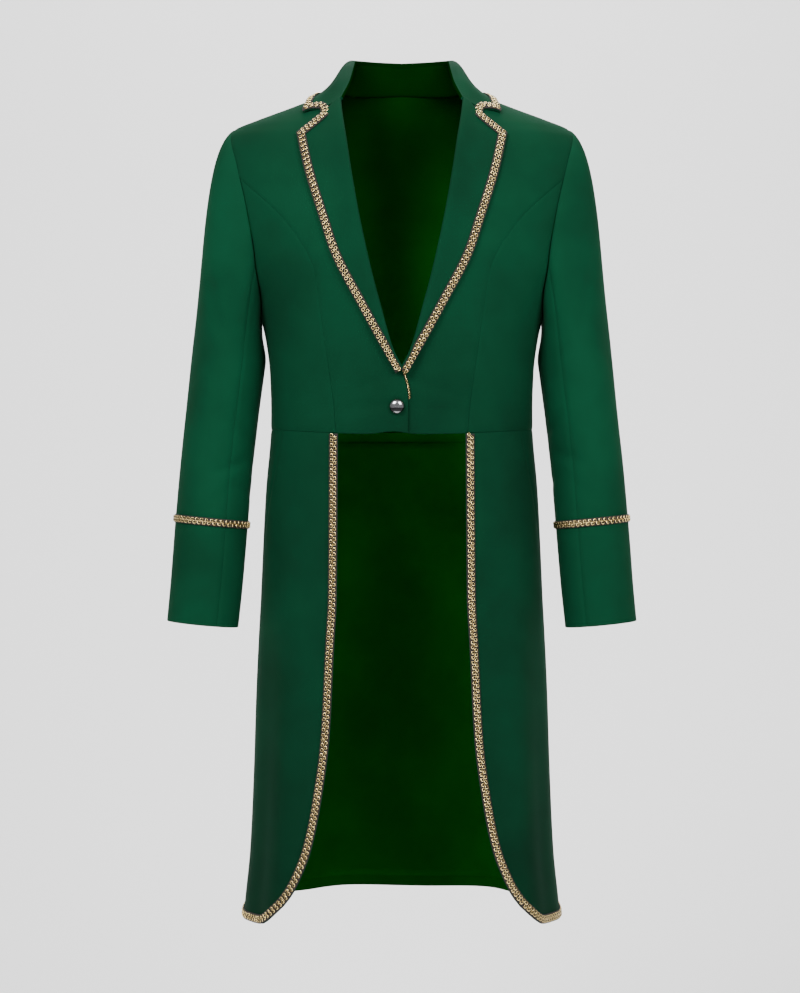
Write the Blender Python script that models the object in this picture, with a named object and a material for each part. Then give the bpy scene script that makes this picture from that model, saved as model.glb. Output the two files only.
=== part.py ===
"""Tailcoat with a notched collar, cut-away front skirts and braided edges, filled out as if worn.

Metres, +Z up, front towards -Y. The origin lies at the middle of the neck opening, level with the
neck ends of the shoulder seams. The wearer's right is -X and the wearer's left is +X.
"""
import math

import bpy
import numpy as np

# Cloth walls and the clearances between pieces
CLOTH = 0.0020
LYING_CLOTH = 0.0018
STAND_CLOTH = 0.0016
LINING = 0.0010
BRAID_THICKNESS = 0.0016
SEAM_GAP = 0.0003
LYING_GAP = 0.0008
LINING_GAP = 0.0004
LINING_INSET = 0.024

# Heights of the body's landmarks
NECK_POINT_Z = 0.0095
BACK_NECK_Z = 0.0160
SHOULDER_TIP_Z = -0.0430
UNDERARM_Z = -0.2900
BREAK_Z = -0.3526
WAIST_Z = -0.4235
WAIST_DIP = 0.0065
HEM_Z = -1.0370
BACK_HEM_RISE = 0.0060

# Lines up the panels that meet at a seam, and the seam's share of the panels' own height
SEAM_LINES = 12
SEAM_SHARE = 0.62
FIRST_SEAM_SHARE = 0.05
SKIRT_LINES = 17
BACK_SKIRT_LINES = 25

# Horizontal sections of the body: half width, depth before and behind the side line, squareness
BODY = (
    ("z", "half_width", "front", "back", "square"),
    (-0.450, 0.1662, 0.1085, 0.1010, 2.30),
    (-0.400, 0.1657, 0.1100, 0.1015, 2.30),
    (-0.352, 0.1672, 0.1130, 0.1050, 2.28),
    (-0.310, 0.1725, 0.1165, 0.1120, 2.25),
    (-0.270, 0.1835, 0.1180, 0.1180, 2.20),
    (-0.216, 0.2130, 0.1170, 0.1225, 2.20),
    (-0.160, 0.2330, 0.1110, 0.1210, 2.20),
    (-0.112, 0.2390, 0.1010, 0.1150, 2.15),
    (-0.075, 0.2350, 0.0890, 0.1070, 2.10),
    (-0.055, 0.2270, 0.0800, 0.1010, 2.05),
    (-0.043, 0.2118, 0.0735, 0.0970, 2.00),
    (-0.032, 0.1850, 0.0676, 0.0925, 2.00),
    (-0.0165, 0.1432, 0.0590, 0.0870, 2.00),
    (0.0095, 0.0780, 0.0440, 0.0790, 2.00),
    (0.0250, 0.0500, 0.0380, 0.0750, 2.00),
)

# Horizontal sections of the skirt, from the waist seam to below the hem
SKIRT = (
    ("z", "half_width", "front", "back", "square"),
    (-1.060, 0.2012, 0.1400, 0.1880, 2.50),
    (-1.037, 0.2000, 0.1390, 0.1860, 2.50),
    (-0.950, 0.1918, 0.1350, 0.1750, 2.50),
    (-0.850, 0.1873, 0.1310, 0.1630, 2.45),
    (-0.750, 0.1842, 0.1270, 0.1500, 2.40),
    (-0.630, 0.1784, 0.1210, 0.1340, 2.38),
    (-0.500, 0.1721, 0.1130, 0.1130, 2.34),
    (-0.4235, 0.1657, 0.1085, 0.1005, 2.30),
    (-0.400, 0.1650, 0.1080, 0.0990, 2.30),
)

# Soft upright folds of the skirt: turn from the centre front in degrees, height of the ridge
# (or depth of the trough), breadth in degrees, and how far down from the waist the fold begins
FOLDS = (
    ("turn", "height", "breadth", "begin"),
    (47.0, 0.0035, 9.0, 0.06),
    (66.0, -0.0040, 9.0, 0.03),
    (112.0, 0.0065, 10.0, 0.10),
    (133.0, -0.0060, 9.0, 0.06),
    (152.0, 0.0085, 10.0, 0.03),
    (174.0, -0.0070, 9.0, 0.08),
    (196.0, 0.0080, 10.0, 0.04),
    (217.0, -0.0055, 9.0, 0.09),
    (236.0, 0.0070, 10.0, 0.12),
    (296.0, -0.0045, 9.0, 0.04),
    (314.0, 0.0035, 8.0, 0.07),
)

# Front edge of the fore part: lap below the break, roll line above it
FRONT_EDGE = (
    ("z", "x"),
    (-0.4400, -0.0077),
    (-0.3880, -0.0077),
    (-0.3526, 0.0000),
    (-0.2401, 0.0352),
    (-0.1599, 0.0526),
    (-0.0760, 0.0669),
    (-0.0109, 0.0768),
    (0.0095, 0.0780),
)

# Princess seam, from the waist up to the armhole
PRINCESS = (
    ("z", "x"),
    (-0.4400, 0.0800),
    (-0.3916, 0.0843),
    (-0.3159, 0.0951),
    (-0.2645, 0.1025),
    (-0.2286, 0.1088),
    (-0.1711, 0.1428),
    (-0.1120, 0.2040),
)

# Outer edge of the lapel, from the break up to its corner
LAPEL_EDGE = (
    ("z", "x"),
    (-0.3565, 0.0073),
    (-0.2758, 0.0522),
    (-0.2079, 0.0871),
    (-0.1715, 0.0991),
    (-0.1026, 0.1202),
    (-0.0577, 0.1300),
)

# Front edge of the skirt, from the waist down, and where it turns into the hem
SKIRT_EDGE = (
    ("z", "x"),
    (-1.0096, 0.1433),
    (-0.9968, 0.1346),
    (-0.9790, 0.1254),
    (-0.9403, 0.1108),
    (-0.8822, 0.0987),
    (-0.8050, 0.0885),
    (-0.6890, 0.0826),
    (-0.6312, 0.0796),
    (-0.4200, 0.0785),
)
CORNER_HEM = (
    ("x", "z"),
    (0.1433, -1.0096),
    (0.1557, -1.0226),
    (0.1639, -1.0295),
    (0.1752, -1.0355),
    (0.1860, -1.0370),
)

# Share of the front skirt's hem that the corner takes
CORNER_SHARE = 0.6

# Side seam of the skirt, as a turn from the centre front
SIDE_SEAM = (
    ("z", "turn"),
    (-1.060, 93.0),
    (-0.700, 90.0),
    (-0.538, 76.0),
    (-0.482, 68.0),
    (-0.420, 62.0),
)

# Armhole: how far it reaches forward and back from the side line, in degrees round the body
ARMHOLE_FORWARD = 36.5
ARMHOLE_BACKWARD = 35.0
ARMHOLE_UPPER_POWER = 0.80
ARMHOLE_LOWER_POWER = 1.30
PRINCESS_TOP = math.radians(63.8)
SIDE_BACK_TOP = math.radians(250.0)
SIDE_BACK_TURN = math.radians(125.0)

# Arm tube below the armhole: centre line and half sizes of the sleeve by height
ARM = (
    ("z", "x", "y", "half_width", "half_depth"),
    (-0.6680, 0.2503, -0.0300, 0.0450, 0.0405),
    (-0.6160, 0.2453, -0.0270, 0.0454, 0.0425),
    (-0.5347, 0.2393, -0.0190, 0.0458, 0.0465),
    (-0.4737, 0.2346, -0.0110, 0.0457, 0.0510),
    (-0.4128, 0.2282, -0.0040, 0.0457, 0.0560),
    (-0.3350, 0.2192, 0.0000, 0.0467, 0.0620),
)
ARM_TOP_Z = -0.3350
CUFF_Z = -0.6680
ARM_LEAN = 0.097
SLEEVE_SEAM = math.radians(117.0)

# Sleeve head: way it leaves the armhole below and how that changes at the shoulder, and how strongly
HEAD_LEAVE = np.array([0.20, 0.0, -1.0])
HEAD_TOP_LEAVE = np.array([1.0, 0.0, 0.62])
HEAD_FORWARD = -0.22
HEAD_POWER = 1.5
HEAD_PULL = 0.95
HEAD_TOP_PULL = 0.30

# Cuff
CUFF_BRAID_Z = -0.5395
CUFF_BRAID_WIDTH = 0.0095

# Collar, for one half round the neck: fold line, edge of the fall on the body, its roll and hollow
COLLAR = (
    ("turn", "fold_x", "fold_y", "fold_z", "edge_turn", "edge_z", "roll", "hollow"),
    (0.00, 0.0000, 0.0810, 0.0565, 180.0, -0.0010, 0.0040, 0.0000),
    (0.25, 0.0400, 0.0720, 0.0570, 150.0, -0.0010, 0.0050, 0.0005),
    (0.50, 0.0605, 0.0440, 0.0535, 121.0, -0.0020, 0.0085, 0.0015),
    (0.70, 0.0625, 0.0120, 0.0400, 92.0, -0.0040, 0.0105, 0.0025),
    (0.85, 0.0665, -0.0210, 0.0180, 61.0, -0.0140, 0.0080, 0.0008),
    (1.00, 0.0768, -0.0520, -0.0090, 43.5, -0.0292, 0.0030, -0.0032),
)
SHOULDER_TURN = 0.70
STAND_END = 0.84
STAND_FOOT = 0.0006
STAND_INSET = 0.0008
STAND_DROP = 0.0064
GORGE_TURN = 0.85
GORGE_DROP = 0.0068
NOTCH_FRACTION = 0.42
NOTCH_POWER = 2.0
FALL_ROLL_SHARE = 0.20
FALL_HOLLOW_POWER = 1.7
FALL_SHARES = (1.0, 0.80, 0.62, 0.45, 0.30, 0.18, 0.09, 0.03, 0.0)
END_LINES = 4

# Roll of the lapel, the braid and the button
GORGE_Z = -0.0135
ROLL_HEIGHT = 0.0040
ROLL_BREADTH = 0.016
ROLL_START = 0.35
ROLL_SPAN = 0.25
LAPEL_LENGTH = 0.33
LEAST_BRAID_LINE = 0.30
LAPEL_SHARES = (0.0, 0.12, 0.35, 0.70)
BRAID_WIDTH = 0.011
CORNER_STEP = 0.0015
LAP_REACH = 0.009
LAP_EASE = 0.024
LAP_RISE = 0.05
BUTTON_X = -0.0060
BUTTON_Z = -0.3975
BUTTON_RADIUS = 0.0083
BUTTON_HEIGHT = 0.0065
BUTTON_PROFILE = (
    ("radius", "height"),
    (0.76, 0.00),
    (0.97, 0.16),
    (1.00, 0.36),
    (0.92, 0.62),
    (0.68, 0.86),
    (0.36, 0.97),
)

# Colour, roughness and metallic value of each finish
FINISHES = {
    "cloth": ((0.0060, 0.0760, 0.0320, 1.0), 0.75, 0.0),
    "lining": ((0.0010, 0.0110, 0.0012, 1.0), 0.60, 0.0),
    "braid": ((0.5800, 0.3500, 0.1300, 1.0), 0.35, 0.9),
    "button": ((0.4500, 0.4500, 0.4700, 1.0), 0.15, 1.0),
}


def clear_scene():
    """Remove whatever the scene holds."""
    for old in list(bpy.data.objects):
        bpy.data.objects.remove(old, do_unlink=True)


def column(table, name):
    """One named column of a table, as an array."""
    place = table[0].index(name)
    return np.array([row[place] for row in table[1:]], dtype=float)


def read(table, name, at):
    """A column's value at a place in the first column, by a cubic that never overshoots its rows."""
    keys = column(table, table[0][0])
    values = column(table, name)
    steps = np.diff(keys)
    slopes = np.diff(values) / steps
    before, after = slopes[:-1], slopes[1:]
    level = before * after <= 0
    safe_before = np.where(level, 1.0, before)
    safe_after = np.where(level, 1.0, after)
    weight_a = 2 * steps[1:] + steps[:-1]
    weight_b = steps[1:] + 2 * steps[:-1]
    middle = (weight_a + weight_b) / (weight_a / safe_before + weight_b / safe_after)
    tangents = np.concatenate(([slopes[0]], np.where(level, 0.0, middle), [slopes[-1]]))
    at = np.clip(np.asarray(at, dtype=float), keys[0], keys[-1])
    left = np.clip(np.searchsorted(keys, at, side="right") - 1, 0, len(keys) - 2)
    t = (at - keys[left]) / steps[left]
    return ((2 * t**3 - 3 * t**2 + 1) * values[left] + (t**3 - 2 * t**2 + t) * steps[left] * tangents[left]
            + (3 * t**2 - 2 * t**3) * values[left + 1] + (t**3 - t**2) * steps[left] * tangents[left + 1])


def between(first, last, share):
    """Values from first to last at the given shares."""
    return first + (last - first) * share


def ramp(value):
    """Smooth step from 0 to 1 as the value goes from 0 to 1."""
    t = np.clip(value, 0.0, 1.0)
    return t * t * (3 - 2 * t)


def unit(vectors):
    """Vectors of length one."""
    return vectors / np.maximum(np.linalg.norm(vectors, axis=-1, keepdims=True), 1e-12)


def signed_power(value, power):
    """A power that keeps its base's sign."""
    return np.sign(value) * np.abs(value) ** power


def section(table, turn, z):
    """A point of a rounded-box section at height z, turned from the centre front towards +X."""
    power = 2.0 / read(table, "square", z)
    across = signed_power(np.sin(turn), power)
    ahead = signed_power(np.cos(turn), power)
    depth = np.where(ahead > 0, read(table, "front", z), read(table, "back", z))
    x = read(table, "half_width", z) * across
    return np.stack([x, -depth * ahead, z * np.ones_like(across)], axis=-1)


def body(turn, z):
    """Outer face of the body."""
    return section(BODY, turn, z)


def skirt(turn, z):
    """Outer face of the skirt: its section moved out and in by the soft folds, more so lower down."""
    points = section(SKIRT, turn, z)
    outward = unit(points * np.array([1.0, 1.0, 0.0]))
    rise = np.zeros_like(points[..., 0])
    for fold_turn, height, breadth, begin in FOLDS[1:]:
        away = np.mod(turn - math.radians(fold_turn) + math.pi, 2 * math.pi) - math.pi
        below = (WAIST_Z - z - begin) / (WAIST_Z - HEM_Z - begin)
        rise = rise + height * np.exp(-(away / math.radians(breadth)) ** 2) * ramp(below)
    return points + outward * rise[..., None]


def normals(surface, turn, z, step=1e-4):
    """Outward unit normals of a surface of turn and height."""
    round_way = surface(turn + step, z) - surface(turn - step, z)
    up_way = surface(turn, z + step) - surface(turn, z - step)
    return unit(np.cross(round_way, up_way))


def turn_at(table, x, z):
    """The turn at which a section's front half has the given x."""
    share = np.clip(np.abs(x) / read(table, "half_width", z), 0.0, 1.0)
    return np.sign(x) * np.arcsin(share ** (read(table, "square", z) / 2.0))


def waist(turn):
    """Height of the waist seam, lowest at the centre front."""
    return WAIST_Z - WAIST_DIP * np.maximum(np.cos(turn), 0.0) ** 2


def armhole(phi):
    """Turn and height of the armhole: 0 at the shoulder tip, a quarter at the front, a half below."""
    middle = (SHOULDER_TIP_Z + UNDERARM_Z) / 2
    half = (SHOULDER_TIP_Z - UNDERARM_Z) / 2
    power = np.where(np.cos(phi) > 0, ARMHOLE_UPPER_POWER, ARMHOLE_LOWER_POWER)
    reach = np.where(np.sin(phi) > 0, ARMHOLE_FORWARD, ARMHOLE_BACKWARD)
    swing = np.radians(reach) * signed_power(np.sin(phi), power)
    return np.stack([math.pi / 2 - swing, middle + half * np.cos(phi)], axis=-1)


def front_edge(z):
    """Turn and height of the fore part's front edge."""
    return np.stack([turn_at(BODY, read(FRONT_EDGE, "x", z), z), z], axis=-1)


def princess(z):
    """Turn and height of the princess seam, eased to meet the armhole."""
    junction = armhole(np.array(PRINCESS_TOP))
    turn = turn_at(BODY, read(PRINCESS, "x", z), z)
    miss = junction[0] - turn_at(BODY, read(PRINCESS, "x", junction[1]), junction[1])
    share = np.clip((z - WAIST_Z) / (junction[1] - WAIST_Z), 0.0, 1.0)
    return np.stack([turn + miss * share**4, z], axis=-1)


def coons(left, right, bottom, top, u=None, v=None):
    """A grid between four border lines, each a run of turn and height pairs."""
    u = np.linspace(0, 1, len(bottom)) if u is None else u
    v = np.linspace(0, 1, len(left)) if v is None else v
    u, v = u[:, None, None], v[None, :, None]
    across = (1 - u) * left[None] + u * right[None]
    along = (1 - v) * bottom[:, None] + v * top[:, None]
    corners = ((1 - u) * (1 - v) * bottom[0] + u * (1 - v) * bottom[-1]
               + (1 - u) * v * top[0] + u * v * top[-1])
    return across + along - corners


def ease(points, gap):
    """Draw the border of a grid of points in by half a seam gap."""
    points = points.copy()
    inner = points.copy()
    points[0] += unit(inner[1] - inner[0]) * gap / 2
    points[-1] += unit(inner[-2] - inner[-1]) * gap / 2
    points[:, 0] += unit(inner[:, 1] - inner[:, 0]) * gap / 2
    points[:, -1] += unit(inner[:, -2] - inner[:, -1]) * gap / 2
    return points


def material(finish):
    """The finish's material, made once."""
    found = bpy.data.materials.get(finish)
    if found:
        return found
    colour, roughness, metallic = FINISHES[finish]
    made = bpy.data.materials.new(finish)
    made.use_nodes = True
    shader = made.node_tree.nodes["Principled BSDF"]
    shader.inputs["Base Color"].default_value = colour
    shader.inputs["Roughness"].default_value = roughness
    shader.inputs["Metallic"].default_value = metallic
    made.diffuse_color = colour
    return made


def add_piece(name, points, faces, finish):
    """One named object from its points and faces."""
    mesh = bpy.data.meshes.new(name)
    mesh.from_pydata(points.tolist(), [], faces)
    mesh.shade_smooth()
    mesh.set_sharp_from_angle(angle=math.radians(40))
    mesh.materials.append(material(finish))
    piece = bpy.data.objects.new(name, mesh)
    bpy.context.scene.collection.objects.link(piece)
    return piece


def add_wall(name, outer, outward, thickness, finish, ring=False):
    """A closed cloth wall: the outer grid, the same grid moved in, and the edges between them.

    The first way of the grid crossed with the second points outwards. A ring closes the first way.
    A wall of the wearer's right side has its cells split the other way, as a mirror would.
    """
    count_u, count_v = outer.shape[:2]
    inner = outer - outward * thickness
    points = np.concatenate([outer.reshape(-1, 3), inner.reshape(-1, 3)])
    numbers = np.arange(2 * count_u * count_v).reshape(2, count_u, count_v)
    if ring:
        numbers = np.concatenate([numbers, numbers[:, :1]], axis=1)
    front, rear = numbers
    faces = []
    for face, flip in ((front, False), (rear, True)):
        a, b, c, d = (face[:-1, :-1], face[1:, :-1], face[1:, 1:], face[:-1, 1:])
        pair = [np.stack([a, b, c], -1), np.stack([a, c, d], -1)]
        if name.endswith("_right"):
            pair = [np.stack([a, b, d], -1), np.stack([b, c, d], -1)]
        for three in pair:
            three = three[..., ::-1] if flip else three
            faces += three.reshape(-1, 3).tolist()
    borders = [(front[::-1, 0], rear[::-1, 0]), (front[:, -1], rear[:, -1])]
    if not ring:
        borders += [(front[0], rear[0]), (front[-1, ::-1], rear[-1, ::-1])]
    for near, far in borders:
        faces += np.stack([near[:-1], near[1:], far[1:]], -1).tolist()
        faces += np.stack([near[:-1], far[1:], far[:-1]], -1).tolist()
    return add_piece(name, points, faces, finish)


def other_side(domain):
    """A grid of turns and heights taken to the -X side, still turning the same way."""
    flipped = domain[::-1].copy()
    flipped[..., 0] *= -1
    return flipped


def mirrored(points):
    """Points taken to the -X side, their first way turned round."""
    return points[::-1] * np.array([-1.0, 1.0, 1.0])


def panel(name, surface, domain, thickness=CLOTH, finish="cloth", sink=None, lift=0.0, gap=SEAM_GAP):
    """A cloth wall on a surface of turn and height."""
    outward = normals(surface, domain[..., 0], domain[..., 1])
    outer = surface(domain[..., 0], domain[..., 1]) + outward * lift
    if sink is not None:
        outer = outer - outward * sink[..., None]
    return add_wall(name, ease(outer, gap), outward, thickness, finish)


def inset_shares(count):
    """Shares from 0 to 1 whose second and last but one are where a lining ends."""
    return np.concatenate([[0.0], np.linspace(LINING_INSET, 1 - LINING_INSET, count - 2), [1.0]])


def seam_shares():
    """Shares up the princess and side back seams, the same in each panel that meets there."""
    return np.concatenate([[0.0], np.linspace(FIRST_SEAM_SHARE, 1.0, SEAM_LINES - 1)])


def add_lining(name, surface, domain):
    """A lining inside a panel, made from the panel's own inner lines, moved in."""
    panel(name, surface, domain[1:-1, 1:-1], LINING, "lining", lift=-(CLOTH + LINING_GAP), gap=0.0)


def front_domain(count_u=11, count_upper=8):
    """Turns and heights of a fore part, from the front edge to the princess seam and armhole."""
    junction = armhole(np.array(PRINCESS_TOP))
    low = seam_shares()
    high = np.linspace(0, 1, count_upper + 1)[1:]
    v = np.concatenate([low * SEAM_SHARE, SEAM_SHARE + high * (1 - SEAM_SHARE)])
    seam_z = np.interp(low, [0.0, 1.0], [WAIST_Z - WAIST_DIP, junction[1]])
    edge_z = np.concatenate([seam_z, np.interp(high, [0.0, 1.0], [junction[1], NECK_POINT_Z])])
    edge_z[np.argmin(np.abs(edge_z - BREAK_Z))] = BREAK_Z
    left = front_edge(edge_z)
    left[0, 1] = waist(left[0, 0])
    left[-1] = (math.pi / 2, NECK_POINT_Z)
    lower = princess(seam_z)
    lower[0, 1] = waist(lower[0, 0])
    right = np.concatenate([lower, armhole(PRINCESS_TOP * (1 - high))])
    bottom_turn = np.linspace(left[0, 0], right[0, 0], count_u)
    bottom = np.stack([bottom_turn, waist(bottom_turn)], axis=-1)
    top = np.linspace(left[-1], right[-1], count_u)
    return coons(left, right, bottom, top, v=v)


def add_fronts():
    """The two fore parts; the right one laps over the left one, which sinks beneath it."""
    domain = front_domain()
    across = body(domain[..., 0], domain[..., 1])[..., 0]
    under = 1 - ramp((across - LAP_REACH) / LAP_EASE)
    low = 1 - ramp((domain[..., 1] - BREAK_Z) / LAP_RISE)
    sink = (CLOTH + LYING_GAP + LINING_GAP) * under * low
    panel("front_left", body, domain, sink=sink)
    panel("front_right", body, other_side(domain))


def side_domain(count_u=7):
    """Turns and heights of a side body, from the princess seam to the side back seam."""
    front_top = armhole(np.array(PRINCESS_TOP))
    back_top = armhole(np.array(SIDE_BACK_TOP))
    v = seam_shares()
    left = princess(np.interp(v, [0, 1], [WAIST_Z - WAIST_DIP, front_top[1]]))
    left[0, 1] = waist(left[0, 0])
    right = side_back(v)
    top = armhole(np.linspace(PRINCESS_TOP, SIDE_BACK_TOP, count_u))
    bottom_turn = np.linspace(left[0, 0], right[0, 0], count_u)
    bottom = np.stack([bottom_turn, waist(bottom_turn)], axis=-1)
    left[-1], right[-1] = front_top, back_top
    return coons(left, right, bottom, top, v=v)


def side_back(v):
    """Turn and height along the side back seam, from the waist to the armhole."""
    top = armhole(np.array(SIDE_BACK_TOP))
    turn = SIDE_BACK_TURN + (top[0] - SIDE_BACK_TURN) * v**2
    return np.stack([turn, WAIST_Z + (top[1] - WAIST_Z) * v], axis=-1)


def back_domain(count_u=21, count_upper=7):
    """Turns and heights of the back body, round the centre back from one side to the other."""
    low = seam_shares()
    high = inset_shares(count_upper + 2)[2:]
    v = np.concatenate([low * SEAM_SHARE, SEAM_SHARE + high * (1 - SEAM_SHARE)])
    u = inset_shares(count_u)
    left = np.concatenate([side_back(low), armhole(SIDE_BACK_TOP + (2 * math.pi - SIDE_BACK_TOP) * high)])
    right = left.copy()
    right[:, 0] = 2 * math.pi - left[:, 0]
    bottom_turn = left[0, 0] + (right[0, 0] - left[0, 0]) * u
    bottom = np.stack([bottom_turn, np.full(count_u, WAIST_Z)], axis=-1)
    from_middle = np.abs(u - 0.5) * 2
    neck_share = 0.4
    round_neck = np.clip(from_middle / neck_share, 0, 1)
    turn_away = round_neck * math.pi / 2
    along_shoulder = np.clip((from_middle - neck_share) / (1 - neck_share), 0, 1)
    height = (NECK_POINT_Z + (BACK_NECK_Z - NECK_POINT_Z) * (1 + np.cos(round_neck * math.pi)) / 2
              + (SHOULDER_TIP_Z - NECK_POINT_Z) * along_shoulder)
    top = np.stack([math.pi + np.sign(u - 0.5) * turn_away, height], axis=-1)
    return coons(left, right, bottom, top, u, v)


def add_back():
    """The back body and the lining that lies inside it."""
    domain = back_domain()
    panel("back", body, domain)
    add_lining("lining_back", body, domain)


def add_sides():
    """The two side bodies."""
    domain = side_domain()
    panel("side_left", body, domain)
    panel("side_right", body, other_side(domain))


def hem(turn):
    """Height of the hem, a little higher at the centre back."""
    return HEM_Z + BACK_HEM_RISE * np.maximum(-np.cos(turn), 0.0)


def corner_hem(share):
    """Turn and height along the hem, from the end of the front edge to the side seam."""
    corner_x = column(CORNER_HEM, "x")
    seam_turn = math.radians(float(read(SIDE_SEAM, "turn", HEM_Z)))
    last_turn = turn_at(SKIRT, corner_x[-1], HEM_Z)
    x = np.interp(share, [0, CORNER_SHARE], [corner_x[0], corner_x[-1]])
    z = read(CORNER_HEM, "z", x)
    turn = turn_at(SKIRT, x, z)
    rest = np.clip((share - CORNER_SHARE) / (1 - CORNER_SHARE), 0, 1)
    return np.stack([np.where(share > CORNER_SHARE, between(last_turn, seam_turn, rest), turn), z], axis=-1)


def skirt_front_domain(count_u=8):
    """Turns and heights of a front skirt, from the front edge to the side seam."""
    v = inset_shares(SKIRT_LINES)
    lowest = SKIRT_EDGE[1][0]
    edge_z = lowest + (waist_edge_z() - lowest) * v
    left = np.stack([turn_at(SKIRT, read(SKIRT_EDGE, "x", edge_z), edge_z), edge_z], axis=-1)
    seam_z = HEM_Z + (WAIST_Z - HEM_Z) * v
    right = np.stack([np.radians(read(SIDE_SEAM, "turn", seam_z)), seam_z], axis=-1)
    right[-1, 1] = waist(right[-1, 0])
    bottom = corner_hem(np.linspace(0, 1, count_u))
    top_turn = np.linspace(left[-1, 0], right[-1, 0], count_u)
    top = np.stack([top_turn, waist(top_turn)], axis=-1)
    left[-1], right[0] = top[0], bottom[-1]
    return coons(left, right, bottom, top, v=v)


def waist_edge_z():
    """Height of the waist seam at the skirt's front edge."""
    turn = turn_at(SKIRT, read(SKIRT_EDGE, "x", WAIST_Z), WAIST_Z)
    return float(waist(turn))


def skirt_back_domain():
    """Turns and heights of the back skirt, round the centre back."""
    v = inset_shares(SKIRT_LINES)
    u = inset_shares(BACK_SKIRT_LINES)
    seam_z = HEM_Z + (WAIST_Z - HEM_Z) * v
    left = np.stack([np.radians(read(SIDE_SEAM, "turn", seam_z)), seam_z], axis=-1)
    left[-1, 1] = waist(left[-1, 0])
    right = left.copy()
    right[:, 0] = 2 * math.pi - left[:, 0]
    bottom_turn = left[0, 0] + (right[0, 0] - left[0, 0]) * u
    top_turn = left[-1, 0] + (right[-1, 0] - left[-1, 0]) * u
    bottom = np.stack([bottom_turn, hem(bottom_turn)], axis=-1)
    top = np.stack([top_turn, waist(top_turn)], axis=-1)
    return coons(left, right, bottom, top, u, v)


def add_skirts():
    """The front skirts, the back skirt and the lining that lies inside it."""
    fronts = skirt_front_domain()
    panel("skirt_front_left", skirt, fronts)
    panel("skirt_front_right", skirt, other_side(fronts))
    rear = skirt_back_domain()
    panel("skirt_back", skirt, rear)
    add_lining("lining_skirt", skirt, rear)


def skirt_edge_line(count):
    """Turn and height down a front skirt's edge, round the corner and along the hem to the side seam."""
    lowest = SKIRT_EDGE[1][0]
    z = np.linspace(waist_edge_z() - SEAM_GAP, lowest, count)[:-1]
    down = np.stack([turn_at(SKIRT, read(SKIRT_EDGE, "x", z), z), z], axis=-1)
    return np.concatenate([down, corner_hem(np.linspace(0, 1, count // 2))])


def stepped(surface, line, step):
    """The turn and height reached from each place on a surface by a small step in space."""
    turn, z = line[:, 0], line[:, 1]
    small = 1e-4
    round_way = (surface(turn + small, z) - surface(turn - small, z)) / (2 * small)
    up_way = (surface(turn, z + small) - surface(turn, z - small)) / (2 * small)
    ways = np.stack([round_way, up_way], axis=-1)
    return line + np.einsum("nij,nj->ni", np.linalg.pinv(ways), step)


def braid_strip(surface, line, width):
    """Points and normals of a braid along a line of turns and heights, outer edge first.

    The braid lies to the line's left, seen from outside.
    """
    points = surface(line[:, 0], line[:, 1])
    outward = normals(surface, line[:, 0], line[:, 1])
    inward = unit(np.cross(outward, np.gradient(points, axis=0)))
    inner_line = stepped(surface, line, inward * width)
    lines = np.stack([line, inner_line], axis=1)
    lifted = normals(surface, lines[..., 0], lines[..., 1])
    return surface(lines[..., 0], lines[..., 1]) + lifted * (LYING_GAP + BRAID_THICKNESS), lifted


def add_skirt_braid():
    """The braid along the front skirts' edges and corners, and along the back hem."""
    left_line = skirt_edge_line(24)
    seam_turn = left_line[-1, 0]
    hem_turn = seam_turn + (2 * math.pi - 2 * seam_turn) * inset_shares(BACK_SKIRT_LINES)
    lines = (("trim_skirt_left", left_line), ("trim_skirt_right", other_side(left_line)),
             ("trim_hem_back", np.stack([hem_turn, hem(hem_turn)], axis=-1)))
    for name, line in lines:
        strip, outward = braid_strip(skirt, line, BRAID_WIDTH)
        add_wall(name, ease(strip, 2 * SEAM_GAP), outward, BRAID_THICKNESS, "braid")


def arm_ring(phi, z):
    """A point of the arm tube: an ellipse square to the leaning arm, 0 outside and a quarter in front."""
    level = unit(np.array([1.0, 0.0, ARM_LEAN]))
    centre = np.stack([read(ARM, "x", z), read(ARM, "y", z), z], axis=-1)
    sideways = (read(ARM, "half_width", z) * np.cos(phi))[..., None] * level
    forward = (read(ARM, "half_depth", z) * np.sin(phi))[..., None] * np.array([0.0, -1.0, 0.0])
    return centre + sideways + forward


def sleeve_head(phi, share):
    """From the armhole to the arm tube: a cubic that leaves along the shoulder and ends down the arm."""
    start = body(*np.moveaxis(armhole(phi), -1, 0))
    end = arm_ring(phi, np.full_like(phi, ARM_TOP_Z))
    top = np.maximum(np.cos(phi), 0.0) ** HEAD_POWER
    leave = unit(HEAD_LEAVE + HEAD_TOP_LEAVE * top[..., None]
                 + np.array([0.0, 1.0, 0.0]) * HEAD_FORWARD * np.sin(phi)[..., None])
    arrive = unit(np.array([ARM_LEAN, HEAD_FORWARD / 10, -1.0]))
    reach = np.linalg.norm(end - start, axis=-1, keepdims=True)
    pull = between(HEAD_PULL, HEAD_TOP_PULL, top[..., None])
    t = share[..., None]
    return ((2 * t**3 - 3 * t**2 + 1) * start + (t**3 - 2 * t**2 + t) * leave * reach * pull
            + (3 * t**2 - 2 * t**3) * end + (t**3 - t**2) * arrive * reach)


def sleeve(phi, along):
    """Outer face of the left sleeve: 0 to 1 down the head, 1 to 2 down the arm to the cuff."""
    head = sleeve_head(phi, np.clip(along, 0, 1))
    z = between(ARM_TOP_Z, CUFF_Z, np.clip(along - 1, 0, 1))
    return np.where((along < 1)[..., None], head, arm_ring(phi, z))


def sleeve_normals(phi, along, step=1e-4):
    """Outward unit normals of the left sleeve."""
    lower = np.clip(along - step, 0, 2)
    upper = np.clip(along + step, 0, 2)
    round_way = sleeve(phi + step, along) - sleeve(phi - step, along)
    return unit(np.cross(round_way, sleeve(phi, upper) - sleeve(phi, lower)))


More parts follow.
